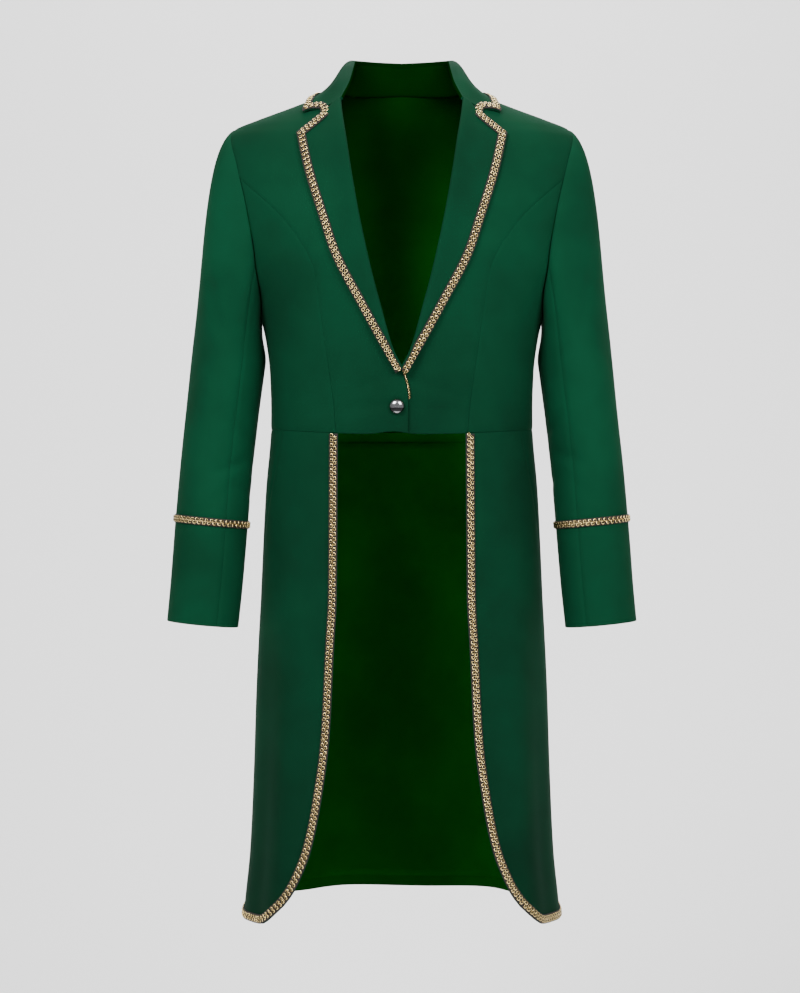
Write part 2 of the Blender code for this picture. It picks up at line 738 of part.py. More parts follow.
def add_sleeves(count_head=8, count_arm=12):
    """The two halves of each sleeve, joined along a front seam and a back seam."""
    along = np.concatenate([np.linspace(0, 1, count_head)[:-1], np.linspace(1, 2, count_arm)])
    halves = (("top", -SLEEVE_SEAM, SLEEVE_SEAM, 15), ("under", SLEEVE_SEAM, 2 * math.pi - SLEEVE_SEAM, 9))
    for half, first, last, count in halves:
        phi, down = np.meshgrid(np.linspace(first, last, count), along, indexing="ij")
        outer = ease(sleeve(phi, down), 4 * SEAM_GAP)
        outward = sleeve_normals(phi, down)
        add_wall(f"sleeve_{half}_left", outer, outward, CLOTH, "cloth")
        add_wall(f"sleeve_{half}_right", mirrored(outer), mirrored(outward), CLOTH, "cloth")


def add_cuff_braid(count=32):
    """The braid band round each sleeve."""
    phi = np.linspace(0, 2 * math.pi, count, endpoint=False)
    phi = phi + SLEEVE_SEAM
    half = CUFF_BRAID_WIDTH / 2 / (ARM_TOP_Z - CUFF_Z)
    middle = 1 + (CUFF_BRAID_Z - ARM_TOP_Z) / (CUFF_Z - ARM_TOP_Z)
    phi, down = np.meshgrid(phi, np.array([middle - half, middle + half]), indexing="ij")
    outward = sleeve_normals(phi, down)
    outer = sleeve(phi, down) + outward * (LYING_GAP + BRAID_THICKNESS)
    add_wall("trim_cuff_left", outer, outward, BRAID_THICKNESS, "braid", ring=True)
    add_wall("trim_cuff_right", mirrored(outer), mirrored(outward), BRAID_THICKNESS, "braid", ring=True)


def lapel_borders(up):
    """Roll line and outer edge of the lapel at a share of the way up, each as x and z."""
    roll_z = BREAK_Z + (GORGE_Z - BREAK_Z) * up
    edge_z = LAPEL_EDGE[1][0] + (LAPEL_EDGE[-1][0] - LAPEL_EDGE[1][0]) * up
    roll = np.stack([read(FRONT_EDGE, "x", roll_z), roll_z], axis=-1)
    edge = np.stack([read(LAPEL_EDGE, "x", edge_z), edge_z], axis=-1)
    return roll, edge


def lapel(up, out):
    """Outer face of the left lapel: up from the break, out from the roll line to the edge.

    It lies on the fore part and rises into a soft roll towards the roll line.
    """
    roll, edge = lapel_borders(up)
    flat = roll + (edge - roll) * out[..., None]
    turn = turn_at(BODY, flat[..., 0], flat[..., 1])
    outward = normals(body, turn, flat[..., 1])
    breadth = np.linalg.norm(edge - roll, axis=-1)
    away = breadth * out
    rise = ROLL_HEIGHT * np.exp(-(away / ROLL_BREADTH) ** 2) * ramp(up / ROLL_SPAN + ROLL_START)
    lift = LYING_GAP + CLOTH + rise
    return body(turn, flat[..., 1]) + outward * lift[..., None], outward


def lapel_lines(count_up=15):
    """Shares up the lapel and, for each, shares out to the braid's inner line and the edge."""
    up = np.linspace(0, 1, count_up)
    roll, edge = lapel_borders(up)
    breadth = np.linalg.norm(edge - roll, axis=-1)
    up[-2] = 1 - BRAID_WIDTH / LAPEL_LENGTH
    braid_line = np.maximum(1 - BRAID_WIDTH / breadth, LEAST_BRAID_LINE)
    return up, braid_line


def lapel_grid():
    """Points and normals of the left lapel, with lines where the braid's inner edge runs."""
    up, braid_line = lapel_lines()
    shares = [braid_line[:, None] * np.array(LAPEL_SHARES), braid_line[:, None], np.ones((len(up), 1))]
    out = np.concatenate(shares, axis=1)
    rows = np.repeat(up[:, None], out.shape[1], axis=1)
    points, outward = lapel(rows, out)
    return points.transpose(1, 0, 2), outward.transpose(1, 0, 2)


def turned(corner, before, after):
    """A strip's inner points where it turns a corner."""
    return np.stack([corner + unit(before - corner) * CORNER_STEP, corner,
                     corner + unit(after - corner) * CORNER_STEP])


def lapel_strip(rows):
    """The lapel grid's last two lines, up the outer edge and back along the upper one, as one strip."""
    outer_line = np.concatenate([rows[:, -1], rows[-1, -2:0:-1]])
    corner = turned(rows[-2, -2], rows[-3, -2], rows[-2, -3])
    inner_line = np.concatenate([rows[:-2, -2], corner, rows[-2, -3:0:-1]])
    return np.stack([outer_line, inner_line], axis=1)


def collar_strip(rows):
    """The collar grid's border lines from notch to notch: front end, long edge, front end."""
    end = END_LINES
    outer_line = np.concatenate([rows[0, end:0:-1], rows[:, 0], rows[-1, 1:end + 1]])
    first = turned(rows[1, 1], rows[1, 2], rows[2, 1])
    last = turned(rows[-2, 1], rows[-3, 1], rows[-2, 2])
    inner_line = np.concatenate([rows[1, end:1:-1], first, rows[2:-2, 1], last, rows[-2, 2:end + 1]])
    return np.stack([outer_line, inner_line], axis=1)


def strip_on(rows, rows_up, shape):
    """A braid's points and normals on a grid's border, made from the grid's points, moved out."""
    lift = LYING_GAP + BRAID_THICKNESS
    strip = shape(rows + rows_up * lift)
    return strip, unit(shape(rows + rows_up * (lift + 1)) - strip)


def add_lapels():
    """The lapels and the braid along their upper and outer edges."""
    points, outward = lapel_grid()
    eased = ease(points, SEAM_GAP)
    add_wall("lapel_left", eased, outward, LYING_CLOTH, "cloth")
    add_wall("lapel_right", mirrored(eased), mirrored(outward), LYING_CLOTH, "cloth")
    rows, rows_up = points.transpose(1, 0, 2), outward.transpose(1, 0, 2)
    strip, strip_up = strip_on(rows, rows_up, lapel_strip)
    add_wall("trim_lapel_left", strip, strip_up, BRAID_THICKNESS, "braid")
    add_wall("trim_lapel_right", mirrored(strip), mirrored(strip_up), BRAID_THICKNESS, "braid")


def collar_values(turn, name):
    """A column of the collar's table, the same on both sides of the centre back."""
    return read(COLLAR, name, np.abs(turn))


def collar_fold(turn):
    """Fold line of the collar."""
    side = np.sign(turn)
    return np.stack([side * collar_values(turn, "fold_x"), collar_values(turn, "fold_y"),
                     collar_values(turn, "fold_z")], axis=-1)


def roll_share(out):
    """Fullness of the collar's roll: rises fast from the fold and dies away towards the edge."""
    place = out / FALL_ROLL_SHARE
    return place * np.exp(1 - place) * (1 - out)


def hollow_share(out):
    """Hollow of the fall above the shoulder: one arch, deepest past the middle."""
    return np.sin(math.pi * np.clip(out, 0, 1) ** FALL_HOLLOW_POWER)


def notch_share(out):
    """Dip of the fall's front end: slow from the fold down to the notch, then straight to the corner."""
    return np.where(out < NOTCH_FRACTION, (out / NOTCH_FRACTION) ** NOTCH_POWER,
                    (1 - out) / (1 - NOTCH_FRACTION))


def collar_fall(turn, out):
    """Outer face of the collar's fall, from the fold line out to the edge that lies on the body."""
    side = np.where(turn < 0, -1.0, 1.0)
    edge_turn = np.radians(collar_values(turn, "edge_turn"))
    edge_z = collar_values(turn, "edge_z")
    edge_turn = np.where(side > 0, edge_turn, -edge_turn)
    lift = LYING_GAP + CLOTH
    edge_up = normals(body, edge_turn, edge_z)
    edge = body(edge_turn, edge_z) + edge_up * lift
    fold = collar_fold(turn)
    chord = edge - fold
    outward = unit(unit(chord * np.array([1.0, 1.0, 0.0])) + np.array([0.0, 0.0, 1.0]))
    bulge = collar_values(turn, "roll") * roll_share(out) - collar_values(turn, "hollow") * hollow_share(out)
    drop = GORGE_DROP * notch_share(out) * ramp((np.abs(turn) - GORGE_TURN) / (1 - GORGE_TURN))
    points = fold + chord * out[..., None] + outward * bulge[..., None]
    points[..., 2] -= drop
    return points


def grid_normals(points):
    """Unit normals of a grid of points, the first way crossed with the second."""
    return unit(np.cross(np.gradient(points, axis=0), np.gradient(points, axis=1)))


def neck_line(turn):
    """Turn and height of the neck seam: round the back neck, then down the front edge to the gorge."""
    side = np.where(turn < 0, -1.0, 1.0)
    rear = np.clip(np.abs(turn) / SHOULDER_TURN, 0, 1)
    rear_z = NECK_POINT_Z + (BACK_NECK_Z - NECK_POINT_Z) * (1 + np.cos(rear * math.pi)) / 2
    ahead = np.clip((np.abs(turn) - SHOULDER_TURN) / (1 - SHOULDER_TURN), 0, 1)
    z = np.where(ahead > 0, NECK_POINT_Z + (GORGE_Z - NECK_POINT_Z) * ahead, rear_z)
    angle = np.where(ahead > 0, front_edge(z)[..., 0], math.pi - rear * math.pi / 2)
    return np.stack([side * angle, z], axis=-1)


def add_collar(count_turn=31, count_stand=25):
    """The collar's stand, its fall, and the braid along the fall's edge."""
    turn, out = np.meshgrid(np.linspace(1, -1, count_turn), np.array(FALL_SHARES), indexing="ij")
    points = collar_fall(turn, out)
    outward = grid_normals(points)
    add_wall("collar_fall", ease(points, SEAM_GAP), outward, LYING_CLOTH, "cloth")
    add_wall("trim_collar", *strip_on(points, outward, collar_strip), BRAID_THICKNESS, "braid")
    turn = np.linspace(STAND_END, -STAND_END, count_stand)
    seam = neck_line(turn)
    foot = body(seam[:, 0], seam[:, 1]) + np.array([0.0, 0.0, 1.0]) * STAND_FOOT
    inward = unit(collar_fold(turn) * np.array([-1.0, -1.0, 0.0]))
    head = collar_fold(turn) + inward * STAND_INSET - np.array([0.0, 0.0, 1.0]) * STAND_DROP
    share = np.array([0.0, 0.5, 1.0])[None, :, None]
    stand = foot[:, None] * (1 - share) + head[:, None] * share
    add_wall("collar_stand", stand, grid_normals(stand), STAND_CLOTH, "cloth")


def add_button(count=20):
    """The domed metal button on the right fore part."""
    turn = turn_at(BODY, np.array(BUTTON_X), np.array(BUTTON_Z))
    outward = normals(body, turn, np.array(BUTTON_Z))
    centre = body(turn, np.array(BUTTON_Z)) + outward * LYING_GAP
    level = unit(np.cross(np.array([0.0, 0.0, 1.0]), outward))
    rise = np.cross(outward, level)
    radius = column(BUTTON_PROFILE, "radius") * BUTTON_RADIUS
    height = column(BUTTON_PROFILE, "height") * BUTTON_HEIGHT
    angle = np.linspace(0, 2 * math.pi, count, endpoint=False)
    spoke = level * np.cos(angle)[:, None] + rise * np.sin(angle)[:, None]
    rings = centre + spoke[None] * radius[:, None, None] + outward * height[:, None, None]
    ends = np.stack([centre, centre + outward * BUTTON_HEIGHT])
    points = np.concatenate([rings.reshape(-1, 3), ends])
    here = np.arange(count)
    after = (here + 1) % count
    faces = []
    for ring in range(len(radius) - 1):
        low, high = ring * count, (ring + 1) * count
        faces += np.stack([low + here, low + after, high + after, high + here], axis=-1).tolist()
    base, top = len(points) - 2, len(points) - 1
    last = (len(radius) - 1) * count
    faces += [[base, int(b), int(a)] for a, b in zip(here, after)]
    faces += [[top, last + int(a), last + int(b)] for a, b in zip(here, after)]
    add_piece("button", points, faces, "button")


def main():
    """Build the whole coat."""
    clear_scene()
    add_fronts()
    add_sides()
    add_back()
    add_skirts()
    add_sleeves()
    add_cuff_braid()
    add_lapels()
    add_collar()
    add_skirt_braid()
    add_button()


main()
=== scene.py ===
"""The looks of the braided tailcoat: cloth shells, lining, ring braid, button, stage and camera."""
import math

import bmesh
import bpy
import numpy as np
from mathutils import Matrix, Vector


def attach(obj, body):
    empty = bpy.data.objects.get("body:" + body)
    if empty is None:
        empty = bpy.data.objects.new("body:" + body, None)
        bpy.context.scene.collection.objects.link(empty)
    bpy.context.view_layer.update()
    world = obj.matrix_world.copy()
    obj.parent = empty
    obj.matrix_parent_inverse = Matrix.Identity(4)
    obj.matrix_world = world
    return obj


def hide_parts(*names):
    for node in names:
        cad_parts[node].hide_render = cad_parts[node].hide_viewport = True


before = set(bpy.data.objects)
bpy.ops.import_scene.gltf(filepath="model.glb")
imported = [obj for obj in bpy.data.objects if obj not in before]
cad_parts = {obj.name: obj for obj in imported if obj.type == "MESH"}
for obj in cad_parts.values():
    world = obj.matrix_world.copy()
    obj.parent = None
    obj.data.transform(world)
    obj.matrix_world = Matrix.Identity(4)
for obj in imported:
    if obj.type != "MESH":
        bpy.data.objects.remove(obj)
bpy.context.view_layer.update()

bl_info = {
    "name": "Braided tailcoat",
    "version": (1, 0, 0),
    "blender": (4, 5, 0),
    "location": "3D View > Sidebar > Coat",
    "description": "Makes a tailcoat with a notched collar and ring braid, filled out as if worn",
    "category": "Add Mesh",
}

# Clearances between pieces, and the share of a panel that its lining leaves free beside each border
LYING_GAP = 0.0008
LINING_GAP = 0.0004
LINING_INSET = 0.024

# Distances of the closer lines beside a piece's border, and the share over which a seam's end is eased
EDGE_LINES = (0.0, 0.00035, 0.0010, 0.0020, 0.0034, 0.0052)
WAIST_FADE = 0.05

# Cloth thickness the lying pieces allow for, the step of the narrow pieces' lines and lines of their folds
WALL = 0.0018
FINE_STEP = 0.003
FOLD_LINES = 9

# Collar's fold: its radius, how deep the fall hangs inside it, the share of that taken off at its ends, and
# the place past the fold at which its inner finish, the lining with painted shade, starts
COLLAR_ROLL = 0.0028
COLLAR_HANG = 0.0045
COLLAR_HANG_EASE = 0.75
COLLAR_INSIDE = -0.12

# Rounded cloth edges, and the pressed dip beside a seam
EDGE_BULGE = 0.30
SEAM_DEPTH = 0.0005
SEAM_SPREAD = 0.0030

# Heights of the body's landmarks
NECK_POINT_Z = 0.0095
BACK_NECK_Z = 0.0160
SHOULDER_TIP_Z = -0.0430
UNDERARM_Z = -0.2900
BREAK_Z = -0.3526
GORGE_Z = -0.0135
WAIST_Z = -0.4235
WAIST_DIP = 0.0082
HEM_Z = -1.0370
BACK_HEM_RISE = 0.0060
SEAM_SHARE = 0.62

# Horizontal sections of the body: half width, depth before and behind the side line, squareness
BODY = (
    ("z", "half_width", "front", "back", "square"),
    (-0.450, 0.1662, 0.1085, 0.1010, 2.30),
    (-0.400, 0.1657, 0.1100, 0.1015, 2.30),
    (-0.352, 0.1672, 0.1130, 0.1050, 2.28),
    (-0.310, 0.1725, 0.1165, 0.1120, 2.25),
    (-0.270, 0.1835, 0.1180, 0.1180, 2.20),
    (-0.216, 0.2130, 0.1170, 0.1225, 2.20),
    (-0.160, 0.2330, 0.1110, 0.1210, 2.20),
    (-0.112, 0.2390, 0.1010, 0.1150, 2.15),
    (-0.075, 0.2350, 0.0890, 0.1070, 2.10),
    (-0.055, 0.2270, 0.0800, 0.1010, 2.05),
    (-0.043, 0.2118, 0.0735, 0.0970, 2.00),
    (-0.032, 0.1850, 0.0676, 0.0925, 2.00),
    (-0.0165, 0.1432, 0.0590, 0.0870, 2.00),
    (0.0095, 0.0780, 0.0440, 0.0790, 2.00),
    (0.0250, 0.0500, 0.0380, 0.0750, 2.00),
)

# Horizontal sections of the skirt, from below the hem to the waist seam
SKIRT = (
    ("z", "half_width", "front", "back", "square"),
    (-1.060, 0.2012, 0.1400, 0.1880, 2.50),
    (-1.037, 0.2000, 0.1390, 0.1860, 2.50),
    (-0.950, 0.1918, 0.1350, 0.1750, 2.50),
    (-0.850, 0.1873, 0.1310, 0.1630, 2.45),
    (-0.750, 0.1842, 0.1270, 0.1500, 2.40),
    (-0.630, 0.1784, 0.1210, 0.1340, 2.38),
    (-0.500, 0.1721, 0.1130, 0.1130, 2.34),
    (-0.4235, 0.1657, 0.1085, 0.1005, 2.30),
    (-0.400, 0.1650, 0.1080, 0.0990, 2.30),
)

# Soft upright folds of the skirt: turn from the centre front in degrees, height of the ridge
# (or depth of the trough), breadth in degrees, and how far down from the waist the fold begins
FOLDS = (
    ("turn", "height", "breadth", "begin"),
    (47.0, 0.0035, 9.0, 0.06),
    (66.0, -0.0040, 9.0, 0.03),
    (112.0, 0.0065, 10.0, 0.10),
    (133.0, -0.0060, 9.0, 0.06),
    (152.0, 0.0085, 10.0, 0.03),
    (174.0, -0.0070, 9.0, 0.08),
    (196.0, 0.0080, 10.0, 0.04),
    (217.0, -0.0055, 9.0, 0.09),
    (236.0, 0.0070, 10.0, 0.12),
    (296.0, -0.0045, 9.0, 0.04),
    (314.0, 0.0035, 8.0, 0.07),
)

# Front edge of the fore part: lap below the break, roll line above it
FRONT_EDGE = (
    ("z", "x"),
    (-0.4400, -0.0077),
    (-0.3880, -0.0077),
    (-0.3526, 0.0000),
    (-0.3348, 0.0095),
    (-0.3226, 0.0145),
    (-0.3043, 0.0203),
    (-0.2800, 0.0268),
    (-0.2401, 0.0376),
    (-0.1599, 0.0553),
    (-0.0760, 0.0693),
    (-0.0109, 0.0780),
    (0.0095, 0.0784),
)

# Rise of the fore parts' lower edge under the button: height, place, spread along the edge and reach up
FRONT_RISE = 0.0036
FRONT_RISE_X = 0.0107
FRONT_RISE_SPREAD = 0.018
FRONT_RISE_REACH = 0.020

# Lap of the fore parts: how far it reaches past the middle, its ease, the height over which it ends, and
# what the one beneath is let down by beyond the cloth and the gap
LAP_REACH = 0.009
LAP_EASE = 0.024
LAP_RISE = 0.05
LAP_SINK = 0.0006

# Princess seam, from the waist up to the armhole
PRINCESS = (
    ("z", "x"),
    (-0.4400, 0.0800),
    (-0.3916, 0.0843),
    (-0.3159, 0.0951),
    (-0.2645, 0.1025),
    (-0.2286, 0.1088),
    (-0.1711, 0.1428),
    (-0.1120, 0.2040),
)

# Outer edge of the lapel, from the break up to its corner
LAPEL_EDGE = (
    ("z", "x"),
    (-0.3565, 0.0073),
    (-0.2758, 0.0522),
    (-0.2079, 0.0871),
    (-0.1715, 0.0991),
    (-0.1026, 0.1202),
    (-0.0577, 0.1300),
)

# Front edge of the skirt, and where it turns into the hem
SKIRT_EDGE = (
    ("z", "x"),
    (-1.0096, 0.1433),
    (-0.9968, 0.1346),
    (-0.9790, 0.1254),
    (-0.9403, 0.1108),
    (-0.8822, 0.0987),
    (-0.8050, 0.0885),
    (-0.6890, 0.0826),
    (-0.6312, 0.0796),
    (-0.4200, 0.0785),
)
CORNER_HEM = (
    ("x", "z"),
    (0.1433, -1.0096),
    (0.1557, -1.0226),
    (0.1639, -1.0295),
    (0.1752, -1.0355),
    (0.1860, -1.0370),
)

# Share of the front skirt's hem that the corner takes
CORNER_SHARE = 0.6

# Side seam of the skirt, as a turn from the centre front
SIDE_SEAM = (
    ("z", "turn"),
    (-1.060, 93.0),
    (-0.700, 90.0),
    (-0.538, 76.0),
    (-0.482, 68.0),
    (-0.420, 62.0),
)

# Armhole: how far it reaches forward and back from the side line, in degrees round the body
ARMHOLE_FORWARD = 36.5
ARMHOLE_BACKWARD = 35.0
ARMHOLE_UPPER_POWER = 0.80
ARMHOLE_LOWER_POWER = 1.30
PRINCESS_TOP = math.radians(63.8)
SIDE_BACK_TOP = math.radians(250.0)
SIDE_BACK_TURN = math.radians(125.0)

# Arm tube below the armhole: centre line and half sizes of the sleeve by height
ARM = (
    ("z", "x", "y", "half_width", "half_depth"),
    (-0.6680, 0.2503, -0.0300, 0.0450, 0.0405),
    (-0.6160, 0.2453, -0.0270, 0.0454, 0.0425),
    (-0.5347, 0.2393, -0.0190, 0.0458, 0.0465),
    (-0.4737, 0.2346, -0.0110, 0.0457, 0.0510),
    (-0.4128, 0.2282, -0.0040, 0.0457, 0.0560),
    (-0.3350, 0.2192, 0.0000, 0.0467, 0.0620),
)
ARM_TOP_Z = -0.3350
CUFF_Z = -0.6680
ARM_LEAN = 0.097
SLEEVE_SEAM = math.radians(117.0)

# Sleeve head: way it leaves the armhole below and how that changes at the shoulder, and how strongly
HEAD_LEAVE = np.array([0.20, 0.0, -1.0])
HEAD_TOP_LEAVE = np.array([1.0, 0.0, 0.62])
HEAD_FORWARD = -0.22
HEAD_POWER = 1.5
HEAD_PULL = 0.95
HEAD_TOP_PULL = 0.30

# Cuff
CUFF_BRAID_Z = -0.5395
CUFF_BRAID_WIDTH = 0.0095

# Collar, for one half round the neck: fold line, edge of the fall on the body, its roll and hollow
COLLAR = (
    ("turn", "fold_x", "fold_y", "fold_z", "edge_turn", "edge_z", "roll", "hollow"),
    (0.00, 0.0000, 0.0810, 0.0565, 180.0, -0.0010, 0.0040, 0.0000),
    (0.25, 0.0400, 0.0720, 0.0570, 150.0, -0.0010, 0.0050, 0.0005),
    (0.50, 0.0605, 0.0440, 0.0535, 121.0, -0.0020, 0.0085, 0.0015),
    (0.70, 0.0625, 0.0120, 0.0400, 92.0, -0.0040, 0.0105, 0.0025),
    (0.85, 0.0665, -0.0210, 0.0180, 61.0, -0.0140, 0.0080, 0.0008),
    (1.00, 0.0768, -0.0520, -0.0090, 43.5, -0.0292, 0.0030, -0.0046),
)
SHOULDER_TURN = 0.70

# Stand: where it ends round the neck, its clearances from the fold, its lap inside the neck seam, its lines
STAND_END = 0.84
STAND_INSET = 0.0008
STAND_DROP = 0.0064
STAND_LAP = 0.0030
STAND_THINNER = 0.0002
STAND_LINES = (90, 10)

# Notch: where the fall's front end starts to drop and by how much, its deepest place and how round it is
GORGE_TURN = 0.85
GORGE_DROP = 0.0095
NOTCH_FRACTION = 0.48
NOTCH_POWER = 0.40
FALL_ROLL_SHARE = 0.20
FALL_HOLLOW_POWER = 1.7

# Soft roll of the lapel: height, breadth, share it has at the break and how fast it grows
ROLL_HEIGHT = 0.0040
ROLL_BREADTH = 0.016
ROLL_START = 0.35
ROLL_SPAN = 0.25

# Braid: its width, sides of a ring and of its cord, the cord's flatness, ground thickness and lines across,
# place of the rows across, their shift from even, tip of a ring and how much less every other one tips
BRAID_WIDTH = 0.011
RING_SIDES = 12
CORD_SIDES = 4
CORD_FLATNESS = 0.90
RING_LIFT = 0.45
BAND_THICKNESS = 0.0006
BAND_LINES = 4
ROW_PLACE = 0.31
ROW_SHIFT = 0.25
RING_TIP = 0.26
RING_TIP_EASE = 0.7

# Courses of the braid: where it turns round the notch on lapel and collar, how far a mitre draws a band
# back, least share out on the lapel, points along each line, and the room left at a seam
NOTCH_SHARE = 0.42
COLLAR_NOTCH_SHARE = 0.48
MITRE_SPREAD = 3.0
BREAK_SHARE = 0.03
POINTS = {"end": 60, "turn": 24, "lapel": 240, "cuff": 240, "hem": 420, "collar": 480, "skirt": 480,
          "corner": 160}
SEAM_TURN_GAP = 0.004
WAIST_GAP = 0.0008

# Least and greatest places of the surfaces that carry braid
LAPEL_RANGE = ((0.0, 0.0), (1.0, 1.0))
COLLAR_RANGE = ((-1.0, 0.0), (1.0, 1.0))
SKIRT_RANGE = ((-2 * math.pi, -1.1), (2 * math.pi, 0.1))

# Braid of half size beside the right front's edge below the break: size of its rings, its ends, where its
# two lines lie beside that edge, its outward way and points along it
SLIVER_SCALE = 0.5
SLIVER_START = 0.004
SLIVER_END_Z = -0.3880
SLIVER_SET_IN = np.array([0.0, 0.0004, 0.0])
SLIVER_ACROSS = np.array([0.0017, 0.0017, 0.0])
SLIVER_OUTWARD = np.array([1.0, -1.0, 0.0])
SLIVER_POINTS = 40

# Button: place, sides, and profile from its back to the top of the dome as shares of its radius and height
BUTTON_X = -0.0060
BUTTON_Z = -0.3975
BUTTON_SIDES = 48
BUTTON_PROFILE = (
    ("radius", "height"),
    (0.00, 0.00),
    (0.60, 0.00),
    (0.78, 0.02),
    (0.93, 0.08),
    (0.99, 0.17),
    (1.00, 0.27),
    (0.985, 0.36),
    (0.95, 0.45),
    (0.89, 0.56),
    (0.80, 0.68),
    (0.68, 0.79),
    (0.54, 0.88),
    (0.38, 0.945),
    (0.20, 0.985),
    (0.00, 1.00),
)

# Stage: floor and backdrop, camera, sky, and lights by place, size in metres and power in watts
FLOOR_Z = -1.50
SWEEP_REACH = 7.0
SWEEP_Y = 1.0
SWEEP_RADIUS = 2.0
SWEEP_HEIGHT = 6.0
SWEEP_LINES = 24
CAMERA_DISTANCE = 3.0
CAMERA_REACH = 1.2611
CAMERA_Z = -0.508
CAMERA_SHIFT = -0.0018
SENSOR_WIDTH = 36.0
SKY_STRENGTH = 0.36
LIGHTS = (
    ("name", "place", "aim", "size", "power"),
    ("key_light", (-1.6, -2.5, 1.8), (0.0, 0.0, -0.20), 1.5, 200.0),
    ("fill_light", (1.9, -2.5, 1.5), (0.0, 0.0, -0.20), 1.7, 160.0),
    ("back_light", (0.3, 1.6, 2.2), (0.0, 0.0, -0.25), 1.6, 45.0),
    ("wall_light", (0.0, 0.9, 2.6), (0.0, 2.6, -0.80), 2.0, 110.0),
)

# Creases of the upper body: place (x, z), which side of the body, lean of the crease from level in
# degrees, half length, half breadth, and height above the cloth (a trough is negative)
BODY_CREASES = (
    ("x", "z", "side", "lean", "long", "broad", "height"),
    (-0.045, -0.372, "front", 24.0, 0.050, 0.0060, -0.0012),
    (-0.040, -0.412, "front", 6.0, 0.036, 0.0050, 0.0010),
    (-0.060, -0.398, "front", 4.0, 0.055, 0.0060, -0.0013),
    (0.050, -0.378, "front", -20.0, 0.050, 0.0060, -0.0012),
    (0.012, -0.412, "front", 84.0, 0.016, 0.0040, -0.0012),
    (0.068, -0.402, "front", -3.0, 0.060, 0.0065, -0.0013),
    (-0.150, -0.215, "front", 62.0, 0.050, 0.0090, -0.0018),
    (0.152, -0.205, "front", -64.0, 0.054, 0.0090, -0.0018),
    (-0.135, -0.262, "front", 40.0, 0.045, 0.0080, -0.0010),
    (0.140, -0.270, "front", -46.0, 0.040, 0.0080, -0.0011),
    (-0.165, -0.120, "front", 78.0, 0.038, 0.0080, 0.0010),
    (0.163, -0.126, "front", -80.0, 0.042, 0.0080, 0.0010),
    (-0.120, -0.190, "back", 70.0, 0.070, 0.0100, -0.0020),
    (0.118, -0.200, "back", -68.0, 0.062, 0.0100, -0.0022),
    (0.030, -0.370, "back", 6.0, 0.080, 0.0080, -0.0014),
    (-0.050, -0.392, "back", -8.0, 0.070, 0.0070, -0.0012),
    (0.005, -0.060, "back", 2.0, 0.090, 0.0100, -0.0010),
)

# Depth over which a crease fades towards the side line
SIDE_FADE = 0.02

# Creases of a sleeve: turn round the arm in degrees, share down the arm, lean, half sizes, height
SLEEVE_CREASES = (
    ("turn", "along", "lean", "long", "broad", "height"),
    (150.0, 1.24, 28.0, 0.030, 0.0060, -0.0016),
    (128.0, 1.36, -22.0, 0.034, 0.0070, -0.0018),
    (160.0, 1.44, 14.0, 0.030, 0.0060, -0.0014),
    (105.0, 1.20, 46.0, 0.040, 0.0080, -0.0011),
    (88.0, 1.52, -35.0, 0.045, 0.0090, -0.0010),
    (236.0, 1.30, -30.0, 0.040, 0.0080, -0.0018),
    (255.0, 1.46, 25.0, 0.036, 0.0070, -0.0014),
    (70.0, 0.70, 74.0, 0.050, 0.0100, -0.0014),
    (290.0, 0.62, -70.0, 0.052, 0.0100, -0.0016),
    (20.0, 1.10, 84.0, 0.080, 0.0140, 0.0010),
    (340.0, 1.60, 80.0, 0.070, 0.0130, 0.0009),
)

# Radius and length that turn those places into metres, and how the right sleeve's creases are moved
ARM_RADIUS = 0.050
ARM_LENGTH = 0.33
CREASE_TURN = 0.12
CREASE_DROP = 0.04

# Shares of a finish's colour at heights z, as painted light and shade: the cloth is painted darker downwards,
# and with it the lining, which is also painted darker towards the neck; the sleeves are painted lighter and
# the lapels darker
BODY_PAINTED_SHADE = (
    ("z", "share"),
    (-1.05, 0.52),
    (-0.90, 0.58),
    (-0.65, 0.71),
    (-0.42, 0.72),
    (-0.33, 0.84),
    (-0.20, 0.96),
    (-0.05, 0.84),
)
SLEEVE_PAINTED_LIGHT = (
    ("z", "share"),
    (-0.66, 0.95),
    (-0.20, 1.12),
    (-0.05, 1.00),
)
LAPEL_PAINTED_SHADE = (
    ("z", "share"),
    (-0.35, 0.84),
    (-0.20, 0.84),
    (0.05, 0.80),
)
LINING_PAINTED_LIGHT = (
    ("z", "share"),
    (-1.05, 0.55),
    (-0.80, 0.80),
    (-0.60, 1.15),
    (-0.44, 1.70),
    (-0.34, 2.80),
    (-0.24, 2.20),
    (-0.14, 1.15),
    (-0.08, 0.70),
    (0.02, 0.42),
)

# Range of heights over which those painted shares are read, the greatest one that can be kept, the share of
# painted shade on the collar's inner side, and the painted dark reflection across the button's lower half
SHADE_LOW_Z = -1.10
SHADE_HIGH_Z = 0.10
SHADE_SCALE = 3.0
NECK_SHADE = 0.55
BUTTON_PAINTED_REFLECTION = (
    ("z", "share"),
    (-0.4047, 1.00),
    (-0.4036, 0.05),
    (-0.3998, 0.04),
    (-0.3986, 1.00),
)

# Lean of the twill's ribs, and the wave texture's own rate: ribs in ten turns of its sine
RIB_TURN = math.pi / 4
WAVE_RATE = 20.0

# Spans across and along over which each piece's lines are laid out, and the steps of the linings' lines
SPANS = {
    "front": (0.17, 0.44),
    "side": (0.15, 0.21),
    "back": (0.42, 0.44),
    "lapel": (0.075, 0.35),
    "collar_fall": (0.52, 0.080),
    "sleeve_top": (0.23, 0.60),
    "sleeve_under": (0.12, 0.60),
    "skirt_front": (0.24, 0.60),
    "skirt_back": (0.90, 0.60),
    "lining_back": (0.42, 0.44),
    "lining_skirt": (0.56, 0.60),
}
SKIRT_COARSER = 1.2
LINING_STEPS = {"lining_back": 0.008, "lining_skirt": 0.010}


def column(table, name):
    """One named column of a table, as an array."""
    place = table[0].index(name)
    return np.array([row[place] for row in table[1:]], dtype=float)


